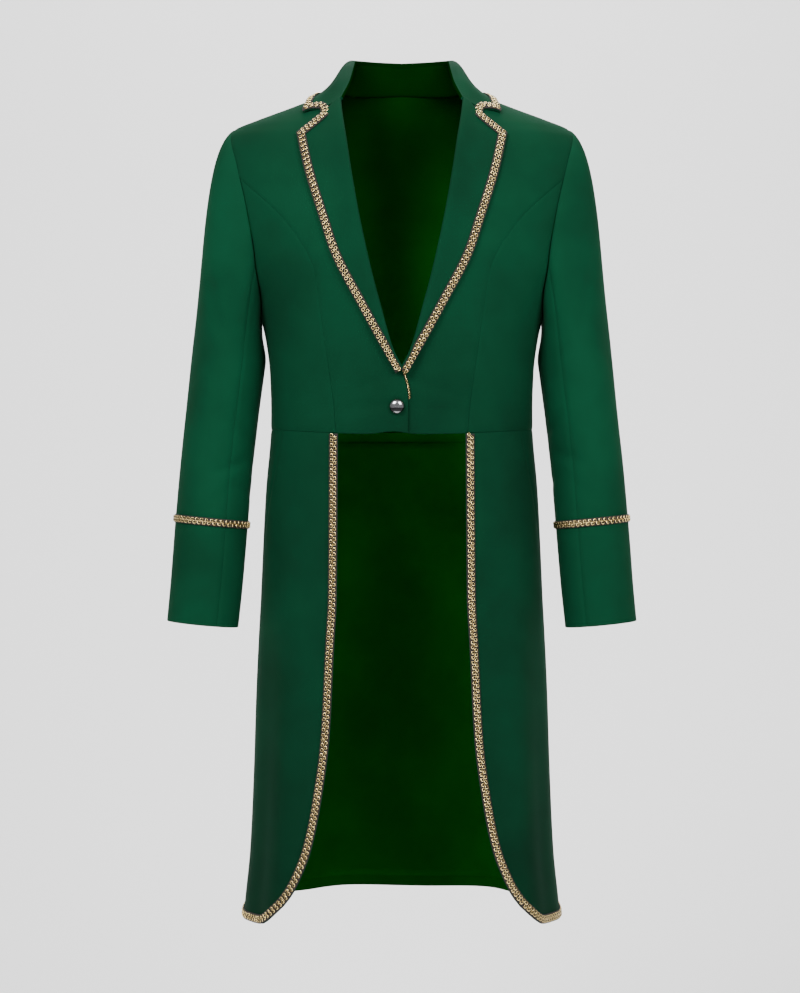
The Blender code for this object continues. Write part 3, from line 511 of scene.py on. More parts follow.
def cubic(t, start, leave, end, arrive):
    """A cubic from start to end as t goes from 0 to 1, with its slopes at both ends."""
    return ((2 * t**3 - 3 * t**2 + 1) * start + (t**3 - 2 * t**2 + t) * leave
            + (3 * t**2 - 2 * t**3) * end + (t**3 - t**2) * arrive)


def read(table, name, at):
    """A column's value at a place in the first column, by a cubic that never overshoots its rows."""
    keys = column(table, table[0][0])
    values = column(table, name)
    steps = np.diff(keys)
    slopes = np.diff(values) / steps
    before, after = slopes[:-1], slopes[1:]
    level = before * after <= 0
    safe_before = np.where(level, 1.0, before)
    safe_after = np.where(level, 1.0, after)
    weight_a = 2 * steps[1:] + steps[:-1]
    weight_b = steps[1:] + 2 * steps[:-1]
    middle = (weight_a + weight_b) / (weight_a / safe_before + weight_b / safe_after)
    tangents = np.concatenate(([slopes[0]], np.where(level, 0.0, middle), [slopes[-1]]))
    at = np.clip(np.asarray(at, dtype=float), keys[0], keys[-1])
    left = np.clip(np.searchsorted(keys, at, side="right") - 1, 0, len(keys) - 2)
    t = (at - keys[left]) / steps[left]
    leave, arrive = steps[left] * tangents[left], steps[left] * tangents[left + 1]
    return cubic(t, values[left], leave, values[left + 1], arrive)


def ramp(value):
    """Smooth step from 0 to 1 as the value goes from 0 to 1."""
    t = np.clip(value, 0.0, 1.0)
    return t * t * (3 - 2 * t)


def unit(vectors):
    """Vectors of length one."""
    return vectors / np.maximum(np.linalg.norm(vectors, axis=-1, keepdims=True), 1e-12)


def signed_power(value, power):
    """A power that keeps its base's sign."""
    return np.sign(value) * np.abs(value) ** power


def section(table, turn, z):
    """A point of a rounded-box section at height z, turned from the centre front towards +X.

    x is the half width times sine of the turn, y the depth times cosine, both to the power of
    two over the section's squareness.
    """
    power = 2.0 / read(table, "square", z)
    across = signed_power(np.sin(turn), power)
    ahead = signed_power(np.cos(turn), power)
    depth = np.where(ahead > 0, read(table, "front", z), read(table, "back", z))
    aside = read(table, "half_width", z) * across
    return np.stack([aside, -depth * ahead, z * np.ones_like(across)], axis=-1)


def body(turn, z):
    """Outer face of the body."""
    return section(BODY, turn, z)


def skirt(turn, z):
    """Outer face of the skirt: its section moved out and in by the soft folds, more so lower down."""
    points = section(SKIRT, turn, z)
    outward = unit(points * np.array([1.0, 1.0, 0.0]))
    rise = np.zeros_like(points[..., 0])
    for fold_turn, height, breadth, begin in FOLDS[1:]:
        away = np.mod(turn - math.radians(fold_turn) + math.pi, 2 * math.pi) - math.pi
        below = (WAIST_Z - z - begin) / (WAIST_Z - HEM_Z - begin)
        rise = rise + height * np.exp(-(away / math.radians(breadth)) ** 2) * ramp(below)
    return points + outward * rise[..., None]


def normals(surface, turn, z, step=1e-4):
    """Outward unit normals of a surface of turn and height, from small differences both ways."""
    round_way = surface(turn + step, z) - surface(turn - step, z)
    up_way = surface(turn, z + step) - surface(turn, z - step)
    return unit(np.cross(round_way, up_way))


def turn_at(table, x, z):
    """The turn at which a section's front half has the given x: the section's formula solved for it."""
    share = np.clip(np.abs(x) / read(table, "half_width", z), 0.0, 1.0)
    return np.sign(x) * np.arcsin(share ** (read(table, "square", z) / 2.0))


def waist(turn):
    """Height of the waist seam, lowest at the centre front."""
    return WAIST_Z - WAIST_DIP * np.maximum(np.cos(turn), 0.0) ** 2


def armhole(phi):
    """Turn and height of the armhole: 0 at the shoulder tip, a quarter at the front, a half below."""
    middle = (SHOULDER_TIP_Z + UNDERARM_Z) / 2
    half = (SHOULDER_TIP_Z - UNDERARM_Z) / 2
    power = np.where(np.cos(phi) > 0, ARMHOLE_UPPER_POWER, ARMHOLE_LOWER_POWER)
    reach = np.where(np.sin(phi) > 0, ARMHOLE_FORWARD, ARMHOLE_BACKWARD)
    swing = np.radians(reach) * signed_power(np.sin(phi), power)
    return np.stack([math.pi / 2 - swing, middle + half * np.cos(phi)], axis=-1)


def front_edge(z):
    """Turn and height of the fore part's front edge."""
    return np.stack([turn_at(BODY, read(FRONT_EDGE, "x", z), z), z], axis=-1)


def princess(z):
    """Turn and height of the princess seam, eased to meet the armhole."""
    junction = armhole(np.array(PRINCESS_TOP))
    turn = turn_at(BODY, read(PRINCESS, "x", z), z)
    miss = junction[0] - turn_at(BODY, read(PRINCESS, "x", junction[1]), junction[1])
    share = np.clip((z - WAIST_Z) / (junction[1] - WAIST_Z), 0.0, 1.0)
    return np.stack([turn + miss * share**4, z], axis=-1)


def side_back(v):
    """Turn and height along the side back seam, from the waist to the armhole."""
    top = armhole(np.array(SIDE_BACK_TOP))
    turn = SIDE_BACK_TURN + (top[0] - SIDE_BACK_TURN) * v**2
    return np.stack([turn, WAIST_Z + (top[1] - WAIST_Z) * v], axis=-1)


def coons(left, right, bottom, top, u, v):
    """A grid between four border lines: the two rulings added, less the corners' bilinear sheet."""
    u, v = u[:, None, None], v[None, :, None]
    across = (1 - u) * left[None] + u * right[None]
    along = (1 - v) * bottom[:, None] + v * top[:, None]
    corners = ((1 - u) * (1 - v) * bottom[0] + u * (1 - v) * bottom[-1]
               + (1 - u) * v * top[0] + u * v * top[-1])
    return across + along - corners


def to_waist(line, share):
    """A line of turns and heights moved to end on the waist seam, the move fading out with the share."""
    line = line.copy()
    end = int(np.argmin(share))
    line[..., 1] += (waist(line[end, 0]) - line[end, 1]) * np.clip(1 - share / WAIST_FADE, 0, 1)
    return line


def between(first, last, shares):
    """Values from first to last at the given shares."""
    return first + (last - first) * shares


def lines(length, step):
    """Shares along a length at an even step, with closer lines beside both ends for a rolled edge."""
    close = np.array(EDGE_LINES) / length
    even = np.linspace(0, 1, max(int(round(length / step)), 2) + 1)
    inner = even[(even > close[-1] * 1.3) & (even < 1 - close[-1] * 1.3)]
    return np.concatenate([close, inner, 1 - close[::-1]])


def inset_lines(length, step):
    """Shares whose second and last but one are where a lining ends."""
    count = max(int(round(length / step)), 2)
    return np.concatenate([[0.0], np.linspace(LINING_INSET, 1 - LINING_INSET, count), [1.0]])


def both_ways(name, step):
    """The shares of a panel's lines across and along."""
    return [lines(span, step) for span in SPANS[name]]


def lining_ways(name):
    """The shares of a lining's lines across and along."""
    return [inset_lines(span, LINING_STEPS[name]) for span in SPANS[name]]


def other_side(domain):
    """A grid of turns and heights taken to the -X side, still turning the same way."""
    flipped = domain[::-1].copy()
    flipped[..., 0] *= -1
    return flipped


def mirrored(points):
    """Points taken to the -X side, their first way turned round."""
    return points[::-1] * np.array([-1.0, 1.0, 1.0])


def front_domain(u, v):
    """Turns and heights of a fore part, from the front edge to the princess seam and armhole."""
    junction = armhole(np.array(PRINCESS_TOP))
    low = np.clip(v / SEAM_SHARE, 0, 1)
    high = np.clip((v - SEAM_SHARE) / (1 - SEAM_SHARE), 0, 1)
    seam_z = between(WAIST_Z - WAIST_DIP, junction[1], low)
    edge_z = np.where(v > SEAM_SHARE, between(junction[1], NECK_POINT_Z, high), seam_z)
    left = to_waist(front_edge(edge_z), low)
    lower = to_waist(princess(seam_z), low)
    right = np.where((v > SEAM_SHARE)[:, None], armhole(PRINCESS_TOP * (1 - high)), lower)
    bottom_turn = between(left[0, 0], right[0, 0], u)
    bottom = np.stack([bottom_turn, waist(bottom_turn)], axis=-1)
    top = between(left[-1], right[-1], u[:, None])
    return coons(left, right, bottom, top, u, v)


def lifted(domain, x):
    """A fore part's turns and heights with its lower edge drawn up a little about a place x."""
    points = body(domain[..., 0], domain[..., 1])
    bell = np.exp(-((points[..., 0] - x) / FRONT_RISE_SPREAD) ** 2)
    low = np.exp(-(points[..., 2] - WAIST_Z + WAIST_DIP) / FRONT_RISE_REACH)
    return np.stack([domain[..., 0], domain[..., 1] + FRONT_RISE * bell * np.minimum(low, 1.0)], axis=-1)


def side_domain(u, v):
    """Turns and heights of a side body, from the princess seam to the side back seam."""
    front_top = armhole(np.array(PRINCESS_TOP))
    back_top = armhole(np.array(SIDE_BACK_TOP))
    left = to_waist(princess(between(WAIST_Z - WAIST_DIP, front_top[1], v)), v)
    right = side_back(v)
    top = armhole(between(PRINCESS_TOP, SIDE_BACK_TOP, u))
    bottom_turn = between(left[0, 0], right[0, 0], u)
    bottom = np.stack([bottom_turn, waist(bottom_turn)], axis=-1)
    left[-1], right[-1] = front_top, back_top
    return coons(left, right, bottom, top, u, v)


def back_domain(u, v):
    """Turns and heights of the back body, round the centre back from one side to the other."""
    low = np.clip(v / SEAM_SHARE, 0, 1)
    high = np.clip((v - SEAM_SHARE) / (1 - SEAM_SHARE), 0, 1)
    upper = armhole(between(SIDE_BACK_TOP, 2 * math.pi, high))
    left = np.where((v > SEAM_SHARE)[:, None], upper, side_back(low))
    right = left.copy()
    right[:, 0] = 2 * math.pi - left[:, 0]
    bottom_turn = between(left[0, 0], right[0, 0], u)
    bottom = np.stack([bottom_turn, np.full(len(u), WAIST_Z)], axis=-1)
    from_middle = np.abs(u - 0.5) * 2
    neck_share = 0.4
    round_neck = np.clip(from_middle / neck_share, 0, 1)
    along_shoulder = np.clip((from_middle - neck_share) / (1 - neck_share), 0, 1)
    height = (NECK_POINT_Z + (BACK_NECK_Z - NECK_POINT_Z) * (1 + np.cos(round_neck * math.pi)) / 2
              + (SHOULDER_TIP_Z - NECK_POINT_Z) * along_shoulder)
    top = np.stack([math.pi + np.sign(u - 0.5) * round_neck * math.pi / 2, height], axis=-1)
    return coons(left, right, bottom, top, u, v)


def hem(turn):
    """Height of the hem, a little higher at the centre back."""
    return HEM_Z + BACK_HEM_RISE * np.maximum(-np.cos(turn), 0.0)


def corner_hem(share):
    """Turn and height along the hem, from the end of the front edge to the side seam."""
    corner_x = column(CORNER_HEM, "x")
    seam_turn = math.radians(float(read(SIDE_SEAM, "turn", HEM_Z)))
    last_turn = turn_at(SKIRT, corner_x[-1], HEM_Z)
    x = np.interp(share, [0, CORNER_SHARE], [corner_x[0], corner_x[-1]])
    z = read(CORNER_HEM, "z", x)
    turn = turn_at(SKIRT, x, z)
    rest = np.clip((share - CORNER_SHARE) / (1 - CORNER_SHARE), 0, 1)
    return np.stack([np.where(share > CORNER_SHARE, between(last_turn, seam_turn, rest), turn), z], axis=-1)


def waist_edge_z():
    """Height of the waist seam at the skirt's front edge."""
    turn = turn_at(SKIRT, read(SKIRT_EDGE, "x", WAIST_Z), WAIST_Z)
    return float(waist(turn))


def side_seam(v):
    """Turn and height of the skirt's side seam, from the hem up to the waist."""
    seam_z = between(HEM_Z, WAIST_Z, v)
    seam = np.stack([np.radians(read(SIDE_SEAM, "turn", seam_z)), seam_z], axis=-1)
    return to_waist(seam, 1 - v)


def skirt_front_domain(u, v):
    """Turns and heights of a front skirt, from the front edge to the side seam."""
    edge_z = between(SKIRT_EDGE[1][0], waist_edge_z(), v)
    left = np.stack([turn_at(SKIRT, read(SKIRT_EDGE, "x", edge_z), edge_z), edge_z], axis=-1)
    right = side_seam(v)
    bottom = corner_hem(u)
    top_turn = between(left[-1, 0], right[-1, 0], u)
    top = np.stack([top_turn, waist(top_turn)], axis=-1)
    left[-1], right[0] = top[0], bottom[-1]
    return coons(left, right, bottom, top, u, v)


def skirt_back_domain(u, v):
    """Turns and heights of the back skirt, round the centre back."""
    left = side_seam(v)
    right = left.copy()
    right[:, 0] = 2 * math.pi - left[:, 0]
    bottom_turn = between(left[0, 0], right[0, 0], u)
    top_turn = between(left[-1, 0], right[-1, 0], u)
    bottom = np.stack([bottom_turn, hem(bottom_turn)], axis=-1)
    top = np.stack([top_turn, waist(top_turn)], axis=-1)
    return coons(left, right, bottom, top, u, v)


def arm_ring(phi, z):
    """A point of the arm tube: an ellipse square to the leaning arm, 0 outside and a quarter in front."""
    level = unit(np.array([1.0, 0.0, ARM_LEAN]))
    centre = np.stack([read(ARM, "x", z), read(ARM, "y", z), z], axis=-1)
    sideways = (read(ARM, "half_width", z) * np.cos(phi))[..., None] * level
    forward = (read(ARM, "half_depth", z) * np.sin(phi))[..., None] * np.array([0.0, -1.0, 0.0])
    return centre + sideways + forward


def sleeve_head(phi, share):
    """From the armhole to the arm tube: a cubic that leaves along the shoulder and ends down the arm."""
    start = body(*np.moveaxis(armhole(phi), -1, 0))
    end = arm_ring(phi, np.full_like(phi, ARM_TOP_Z))
    top = np.maximum(np.cos(phi), 0.0) ** HEAD_POWER
    leave = unit(HEAD_LEAVE + HEAD_TOP_LEAVE * top[..., None]
                 + np.array([0.0, 1.0, 0.0]) * HEAD_FORWARD * np.sin(phi)[..., None])
    arrive = unit(np.array([ARM_LEAN, HEAD_FORWARD / 10, -1.0]))
    reach = np.linalg.norm(end - start, axis=-1, keepdims=True)
    pull = between(HEAD_PULL, HEAD_TOP_PULL, top[..., None])
    return cubic(share[..., None], start, leave * reach * pull, end, arrive * reach)


def sleeve(phi, along):
    """Outer face of the left sleeve: 0 to 1 down the head, 1 to 2 down the arm to the cuff."""
    head = sleeve_head(phi, np.clip(along, 0, 1))
    z = between(ARM_TOP_Z, CUFF_Z, np.clip(along - 1, 0, 1))
    return np.where((along < 1)[..., None], head, arm_ring(phi, z))


def sleeve_normals(phi, along, step=1e-4):
    """Outward unit normals of the left sleeve."""
    lower, upper = np.clip(along - step, 0, 2), np.clip(along + step, 0, 2)
    round_way = sleeve(phi + step, along) - sleeve(phi - step, along)
    return unit(np.cross(round_way, sleeve(phi, upper) - sleeve(phi, lower)))


def lapel_borders(up):
    """Roll line and outer edge of the lapel at a share of the way up, each as x and z."""
    roll_z = between(BREAK_Z, GORGE_Z, up)
    edge_z = between(LAPEL_EDGE[1][0], LAPEL_EDGE[-1][0], up)
    roll = np.stack([read(FRONT_EDGE, "x", roll_z), roll_z], axis=-1)
    edge = np.stack([read(LAPEL_EDGE, "x", edge_z), edge_z], axis=-1)
    return roll, edge


def lapel(up, out):
    """Outer face of the left lapel: up from the break, out from the roll line to the edge.

    It lies on the fore part and rises into a soft roll; below 0 the out share goes round the
    roll in a half circle, back to the fore part's edge.
    """
    roll, edge = lapel_borders(up)
    share = np.maximum(out, 0.0)
    flat = roll + (edge - roll) * share[..., None]
    turn = turn_at(BODY, flat[..., 0], flat[..., 1])
    outward = normals(body, turn, flat[..., 1])
    away = np.linalg.norm(edge - roll, axis=-1) * share
    rise = ROLL_HEIGHT * np.exp(-(away / ROLL_BREADTH) ** 2) * ramp(up / ROLL_SPAN + ROLL_START)
    lift = LYING_GAP + WALL + rise
    points = body(turn, flat[..., 1])
    beyond = edge - roll
    toward = unit(np.stack([beyond[..., 0], np.zeros_like(up), beyond[..., 1]], axis=-1))
    toward = unit(toward - outward * np.sum(toward * outward, axis=-1, keepdims=True))
    angle = np.clip(-out, 0, 1) * math.pi
    height = lift * (1 + np.cos(angle)) / 2
    back = -toward * (lift / 2 * np.sin(angle))[..., None]
    return points + outward * height[..., None] + back


def lapel_face(out, up):
    """The lapel with its ways in the order that faces outwards."""
    return lapel(up, out)


def collar_fold(turn):
    """Fold line of the collar."""
    away = np.abs(turn)
    return np.stack([np.sign(turn) * read(COLLAR, "fold_x", away), read(COLLAR, "fold_y", away),
                     read(COLLAR, "fold_z", away)], axis=-1)


def roll_share(out):
    """Fullness of the collar's roll: rises fast from the fold and dies away towards the edge."""
    place = out / FALL_ROLL_SHARE
    return place * np.exp(1 - place) * (1 - out)


def hollow_share(out):
    """Hollow of the fall above the shoulder: one arch, deepest past the middle."""
    return np.sin(math.pi * np.clip(out, 0, 1) ** FALL_HOLLOW_POWER)


def notch_share(out):
    """Dip of the fall's front end: slow from the fold down to the notch, then straight to the corner."""
    return np.where(out < NOTCH_FRACTION, (out / NOTCH_FRACTION) ** NOTCH_POWER,
                    (1 - out) / (1 - NOTCH_FRACTION))


def collar(turn, out):
    """Outer face of the collar's fall, from the fold line out to the edge that lies on the body.

    The fall is the straight line from fold to edge, filled out by a parabola; below 0 the out
    share goes over the fold in a quarter circle and down inside to the stand.
    """
    side = np.where(turn < 0, -1.0, 1.0)
    away = np.abs(turn)
    edge_turn = np.radians(read(COLLAR, "edge_turn", away)) * side
    edge_z = read(COLLAR, "edge_z", away)
    edge = body(edge_turn, edge_z) + normals(body, edge_turn, edge_z) * (LYING_GAP + WALL)
    fold = collar_fold(turn)
    chord = edge - fold
    share = np.maximum(out, 0.0)
    level = unit(chord * np.array([1.0, 1.0, 0.0]))
    outward = unit(level + np.array([0.0, 0.0, 1.0]))
    hollow = read(COLLAR, "hollow", away) * hollow_share(share)
    bulge = read(COLLAR, "roll", away) * roll_share(share) - hollow
    drop = GORGE_DROP * notch_share(share) * ramp((away - GORGE_TURN) / (1 - GORGE_TURN))
    points = fold + chord * share[..., None] + outward * bulge[..., None]
    points[..., 2] -= drop
    inside = np.clip(-out, 0, 1)
    angle = np.clip(inside * 2, 0, 1) * math.pi / 2
    hang = COLLAR_HANG * (1 - COLLAR_HANG_EASE * ramp((away - STAND_END) / (1 - STAND_END)))
    fallen = COLLAR_ROLL * (1 - np.cos(angle)) + hang * np.clip(inside * 2 - 1, 0, 1)
    points = points - level * (COLLAR_ROLL * np.sin(angle))[..., None]
    points[..., 2] -= fallen
    return points


def neck_line(turn):
    """Turn and height of the neck seam: round the back neck, then down the front edge to the gorge."""
    side = np.where(turn < 0, -1.0, 1.0)
    rear = np.clip(np.abs(turn) / SHOULDER_TURN, 0, 1)
    rear_z = NECK_POINT_Z + (BACK_NECK_Z - NECK_POINT_Z) * (1 + np.cos(rear * math.pi)) / 2
    ahead = np.clip((np.abs(turn) - SHOULDER_TURN) / (1 - SHOULDER_TURN), 0, 1)
    z = np.where(ahead > 0, between(NECK_POINT_Z, GORGE_Z, ahead), rear_z)
    angle = np.where(ahead > 0, front_edge(z)[..., 0], math.pi - rear * math.pi / 2)
    return np.stack([side * angle, z], axis=-1)


def grid_normals(points):
    """Unit normals of a grid of points, the first way crossed with the second."""
    return unit(np.cross(np.gradient(points, axis=0), np.gradient(points, axis=1)))


def reach_along(points, way=0):
    """Distance in metres of each point from the first, along one way of a line or grid of points."""
    reach = np.cumsum(np.linalg.norm(np.diff(points, axis=way), axis=-1), axis=way)
    return np.concatenate([np.zeros_like(np.take(reach, [0], axis=way)), reach], axis=way)


def flat_places(points):
    """Places of a grid of points on its flat pattern, in metres from its middle line and its first row."""
    u = reach_along(points)
    return np.stack([u - u.mean(axis=0, keepdims=True), reach_along(points, 1)], axis=-1)


def fill_mesh(name, parts, finishes):
    """A mesh object joined from parts, each one's points, four-cornered faces, flat places and slots."""
    counts = [0] + [len(part[0]) for part in parts]
    starts = np.cumsum(counts)
    points = np.concatenate([part[0] for part in parts])
    quads = np.concatenate([part[1] + start for part, start in zip(parts, starts)])
    pattern = np.concatenate([part[2] for part in parts])
    slots = np.concatenate([part[3] for part in parts])
    mesh = bpy.data.meshes.new(name)
    mesh.vertices.add(len(points))
    mesh.vertices.foreach_set("co", points.astype(np.float32).ravel())
    mesh.loops.add(quads.size)
    mesh.loops.foreach_set("vertex_index", quads.astype(np.int32).ravel())
    mesh.polygons.add(len(quads))
    mesh.polygons.foreach_set("loop_start", np.arange(0, quads.size, 4, dtype=np.int32))
    for finish in finishes:
        mesh.materials.append(finish)
    mesh.polygons.foreach_set("material_index", slots.astype(np.int32))
    mesh.update(calc_edges=True)
    layer = mesh.uv_layers.new(name="cut")
    layer.data.foreach_set("uv", pattern[quads.ravel()].astype(np.float32).ravel())
    mesh.shade_smooth()
    if mesh.validate():
        raise RuntimeError(f"{name} has faces that don't hold together")
    piece = bpy.data.objects.new(name, mesh)
    bpy.context.scene.collection.objects.link(piece)
    return piece


def border_of(face):
    """The numbers round a grid's border, ending on the first again."""
    line = np.concatenate([face[:-1, 0], face[-1, :-1], face[:0:-1, -1], face[0, :0:-1], face[0, :1]])
    return line[::-1]


def shell(outer, outward, thickness, slots=(0, 1, 0)):
    """A closed shell: the outer grid, the same grid moved in, and a rounded edge between them.

    The first way of the grid crossed with the second points outwards. The edge's middle line
    stands out from the border by three tenths of the thickness.
    """
    count_u, count_v = outer.shape[:2]
    inner = outer - outward * thickness
    numbers = np.arange(2 * count_u * count_v).reshape(2, count_u, count_v)
    points = np.concatenate([outer.reshape(-1, 3), inner.reshape(-1, 3)])
    places = np.tile(flat_places(outer).reshape(-1, 2), (2, 1))
    front, rear = numbers
    faces = []
    kinds = []
    for face, flip, slot in ((front, False, slots[0]), (rear, True, slots[1])):
        four = np.stack([face[:-1, :-1], face[1:, :-1], face[1:, 1:], face[:-1, 1:]], -1).reshape(-1, 4)
        faces.append(four[:, ::-1] if flip else four)
        kinds.append(np.full(len(four), slot))
    near, far = border_of(front), border_of(rear)
    border = points[near]
    tangent = np.gradient(border, axis=0)
    tangent[0] = tangent[-1] = border[1] - border[-2]
    through = points[far] - border
    away = unit(np.cross(unit(tangent), unit(through)))
    middle = border + through / 2 + away * thickness * EDGE_BULGE
    mid = len(points) + np.arange(len(near))
    mid[-1] = mid[0]
    points = np.concatenate([points, middle[:-1]])
    places = np.concatenate([places, places[near[:-1]]])
    for a, b in ((near, mid), (mid, far)):
        faces.append(np.stack([a[:-1], a[1:], b[1:], b[:-1]], -1))
        kinds.append(np.full(len(a) - 1, slots[2]))
    return points, np.concatenate(faces), places, np.concatenate(kinds)


def border_distance(points, sides):
    """Distance of each grid point from the nearest border that counts: first, last, low or high."""
    u, v = reach_along(points), reach_along(points, 1)
    away = np.full(points.shape[:2], 1.0)
    for counts, distance in zip(sides, (u, u[-1:] - u, v, v[:, -1:] - v)):
        if counts:
            away = np.minimum(away, distance)
    return away


def seam_dip(points, sides):
    """How far the cloth sinks beside its seams: a narrow bell of the distance from the border."""
    return SEAM_DEPTH * np.exp(-(border_distance(points, sides) / SEAM_SPREAD) ** 2)


def body_creases(points):
    """Height of the listed creases at each point: a long bell along and a narrow one across."""
    rise = np.zeros(points.shape[:-1])
    for x, z, side, lean, long, broad, height in BODY_CREASES[1:]:
        angle = math.radians(lean)
        run = (points[..., 0] - x) * math.cos(angle) + (points[..., 2] - z) * math.sin(angle)
        off = (points[..., 2] - z) * math.cos(angle) - (points[..., 0] - x) * math.sin(angle)
        bell = height * np.exp(-(run / long) ** 4) * np.exp(-(off / broad) ** 2)
        rise += bell * ramp(points[..., 1] * (-1 if side == "front" else 1) / SIDE_FADE)
    return rise


def sleeve_creases(phi, along, right):
    """Height of a sleeve's creases, as on the body, with turn and length as the two ways."""
    rise = np.zeros(phi.shape)
    turned, dropped = (CREASE_TURN, CREASE_DROP) if right else (0.0, 0.0)
    for turn, place, lean, long, broad, height in SLEEVE_CREASES[1:]:
        angle = math.radians(lean)
        away = np.mod(phi - math.radians(turn) + turned + math.pi, 2 * math.pi) - math.pi
        across = away * ARM_RADIUS
        down = (along - place - dropped) * ARM_LENGTH
        run = across * math.cos(angle) + down * math.sin(angle)
        off = down * math.cos(angle) - across * math.sin(angle)
        rise += height * np.exp(-(run / long) ** 4) * np.exp(-(off / broad) ** 2)
    return rise


def dress(piece, node):
    """Make a piece ride on the coat and stand for its CAD node, whose part is hidden."""
    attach(piece, "root")
    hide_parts(node)
    return piece


class CoatSettings(bpy.types.PropertyGroup):
    """The coat's sizes and colours that a user may change."""

    cloth_thickness: bpy.props.FloatProperty(
        name="Cloth thickness", description="Thickness of the green cloth", default=0.0018, unit="LENGTH")
    lining_thickness: bpy.props.FloatProperty(
        name="Lining thickness", description="Thickness of the lining", default=0.0008, unit="LENGTH")
    cloth_step: bpy.props.FloatProperty(
        name="Cloth fineness", description="Distance between the lines of a cloth piece", default=0.0042,
        unit="LENGTH")
    ring_pitch: bpy.props.FloatProperty(
        name="Ring pitch", description="Distance from ring to ring in a row of the braid", default=0.0062,
        unit="LENGTH")
    ring_length: bpy.props.FloatProperty(
        name="Ring length", description="Outer length of a ring, along the braid", default=0.0053,
        unit="LENGTH")
    ring_width: bpy.props.FloatProperty(
        name="Ring width", description="Outer width of a ring, across the braid", default=0.0047,
        unit="LENGTH")
    ring_cord: bpy.props.FloatProperty(
        name="Ring cord", description="Breadth of the cord that makes a ring", default=0.0015, unit="LENGTH")
    button_diameter: bpy.props.FloatProperty(
        name="Button diameter", description="Diameter of the domed button", default=0.0180, unit="LENGTH")
    button_height: bpy.props.FloatProperty(
        name="Button height", description="Height of the button's dome", default=0.0065, unit="LENGTH")
    cloth_colour: bpy.props.FloatVectorProperty(
        name="Cloth colour", description="Colour of the cloth", default=(0.0011, 0.0310, 0.0130),
        subtype="COLOR", size=3)
    lining_colour: bpy.props.FloatVectorProperty(
        name="Lining colour", description="Colour of the lining", default=(0.0016, 0.0400, 0.0022),
        subtype="COLOR", size=3)
    gold_colour: bpy.props.FloatVectorProperty(
        name="Gold colour", description="Colour of the braid's gold cord", default=(1.00, 0.74, 0.33),
        subtype="COLOR", size=3)
    thread_colour: bpy.props.FloatVectorProperty(
        name="Thread colour", description="Colour of the braid's dark ground", default=(0.006, 0.003, 0.001),
        subtype="COLOR", size=3)
    metal_colour: bpy.props.FloatVectorProperty(
        name="Button colour", description="Colour of the button's metal", default=(0.36, 0.36, 0.37),
        subtype="COLOR", size=3)
    backdrop_colour: bpy.props.FloatVectorProperty(
        name="Backdrop colour", description="Colour of the floor and backdrop", default=(0.88, 0.88, 0.88),
        subtype="COLOR", size=3)


def shader_of(name, roughness, metallic=0.0):
    """A new material with its Principled shader."""
    made = bpy.data.materials.new(name)
    made.use_nodes = True
    shader = made.node_tree.nodes["Principled BSDF"]
    shader.inputs["Roughness"].default_value = roughness
    shader.inputs["Metallic"].default_value = metallic
    return made, shader


def object_place(material):
    """The output that tells a point's place in the coat's own frame."""
    return add_node(material, "ShaderNodeTexCoord").outputs["Object"]


def cut_place(material):
    """The output that tells a point's place on its piece's flat pattern."""
    cut = add_node(material, "ShaderNodeUVMap")
    cut.uv_map = "cut"
    return cut.outputs["UV"]


def add_node(material, kind, operation=None, **values):
    """A node of a kind in the material, with its operation if it has one and its inputs set by name."""
    node = material.node_tree.nodes.new(kind)
    if operation:
        node.operation = operation
    for key, value in values.items():
        node.inputs[key.replace("_", " ")].default_value = value
    return node


def tint_noise(material, place, scale, dark, light):
    """Colour that drifts between two shades by a noise of the given scale, in cycles a metre."""
    noise = add_node(material, "ShaderNodeTexNoise", Scale=scale, Detail=3.0, Roughness=0.55)
    shades = add_node(material, "ShaderNodeValToRGB")
    for stop, position, colour in zip(shades.color_ramp.elements, (0.32, 0.68), (dark, light)):
        stop.position = position
        stop.color = (*colour, 1)
    links = material.node_tree.links
    links.new(place, noise.inputs["Vector"])
    links.new(noise.outputs["Fac"], shades.inputs["Fac"])
    return shades.outputs["Color"]


def by_height(material, place, table, low=SHADE_LOW_Z, high=SHADE_HIGH_Z):
    """A share that changes with height as a table of z and share says."""
    parts = add_node(material, "ShaderNodeSeparateXYZ")
    range_of = add_node(material, "ShaderNodeMapRange", From_Min=low, From_Max=high)
    ramp_of = add_node(material, "ShaderNodeValToRGB")
    stops = ramp_of.color_ramp.elements
    for z, share in table[1:]:
        grey = share / SHADE_SCALE
        stops.new((z - low) / (high - low)).color = (grey, grey, grey, 1)
    stops.remove(stops[0])
    stops.remove(stops[-1])
    links = material.node_tree.links
    links.new(place, parts.inputs["Vector"])
    links.new(parts.outputs["Z"], range_of.inputs["Value"])
    links.new(range_of.outputs["Result"], ramp_of.inputs["Fac"])
    return ramp_of.outputs["Color"]


def multiplied(material, first, second, gain):
    """Two colours multiplied, and then by a gain that takes up the second one's scale."""
    links = material.node_tree.links
    product = add_node(material, "ShaderNodeVectorMath", "MULTIPLY")
    scaled = add_node(material, "ShaderNodeVectorMath", "SCALE", Scale=gain)
    links.new(first, product.inputs[0])
    links.new(second, product.inputs[1])
    links.new(product.outputs["Vector"], scaled.inputs[0])
    return scaled.outputs["Vector"]


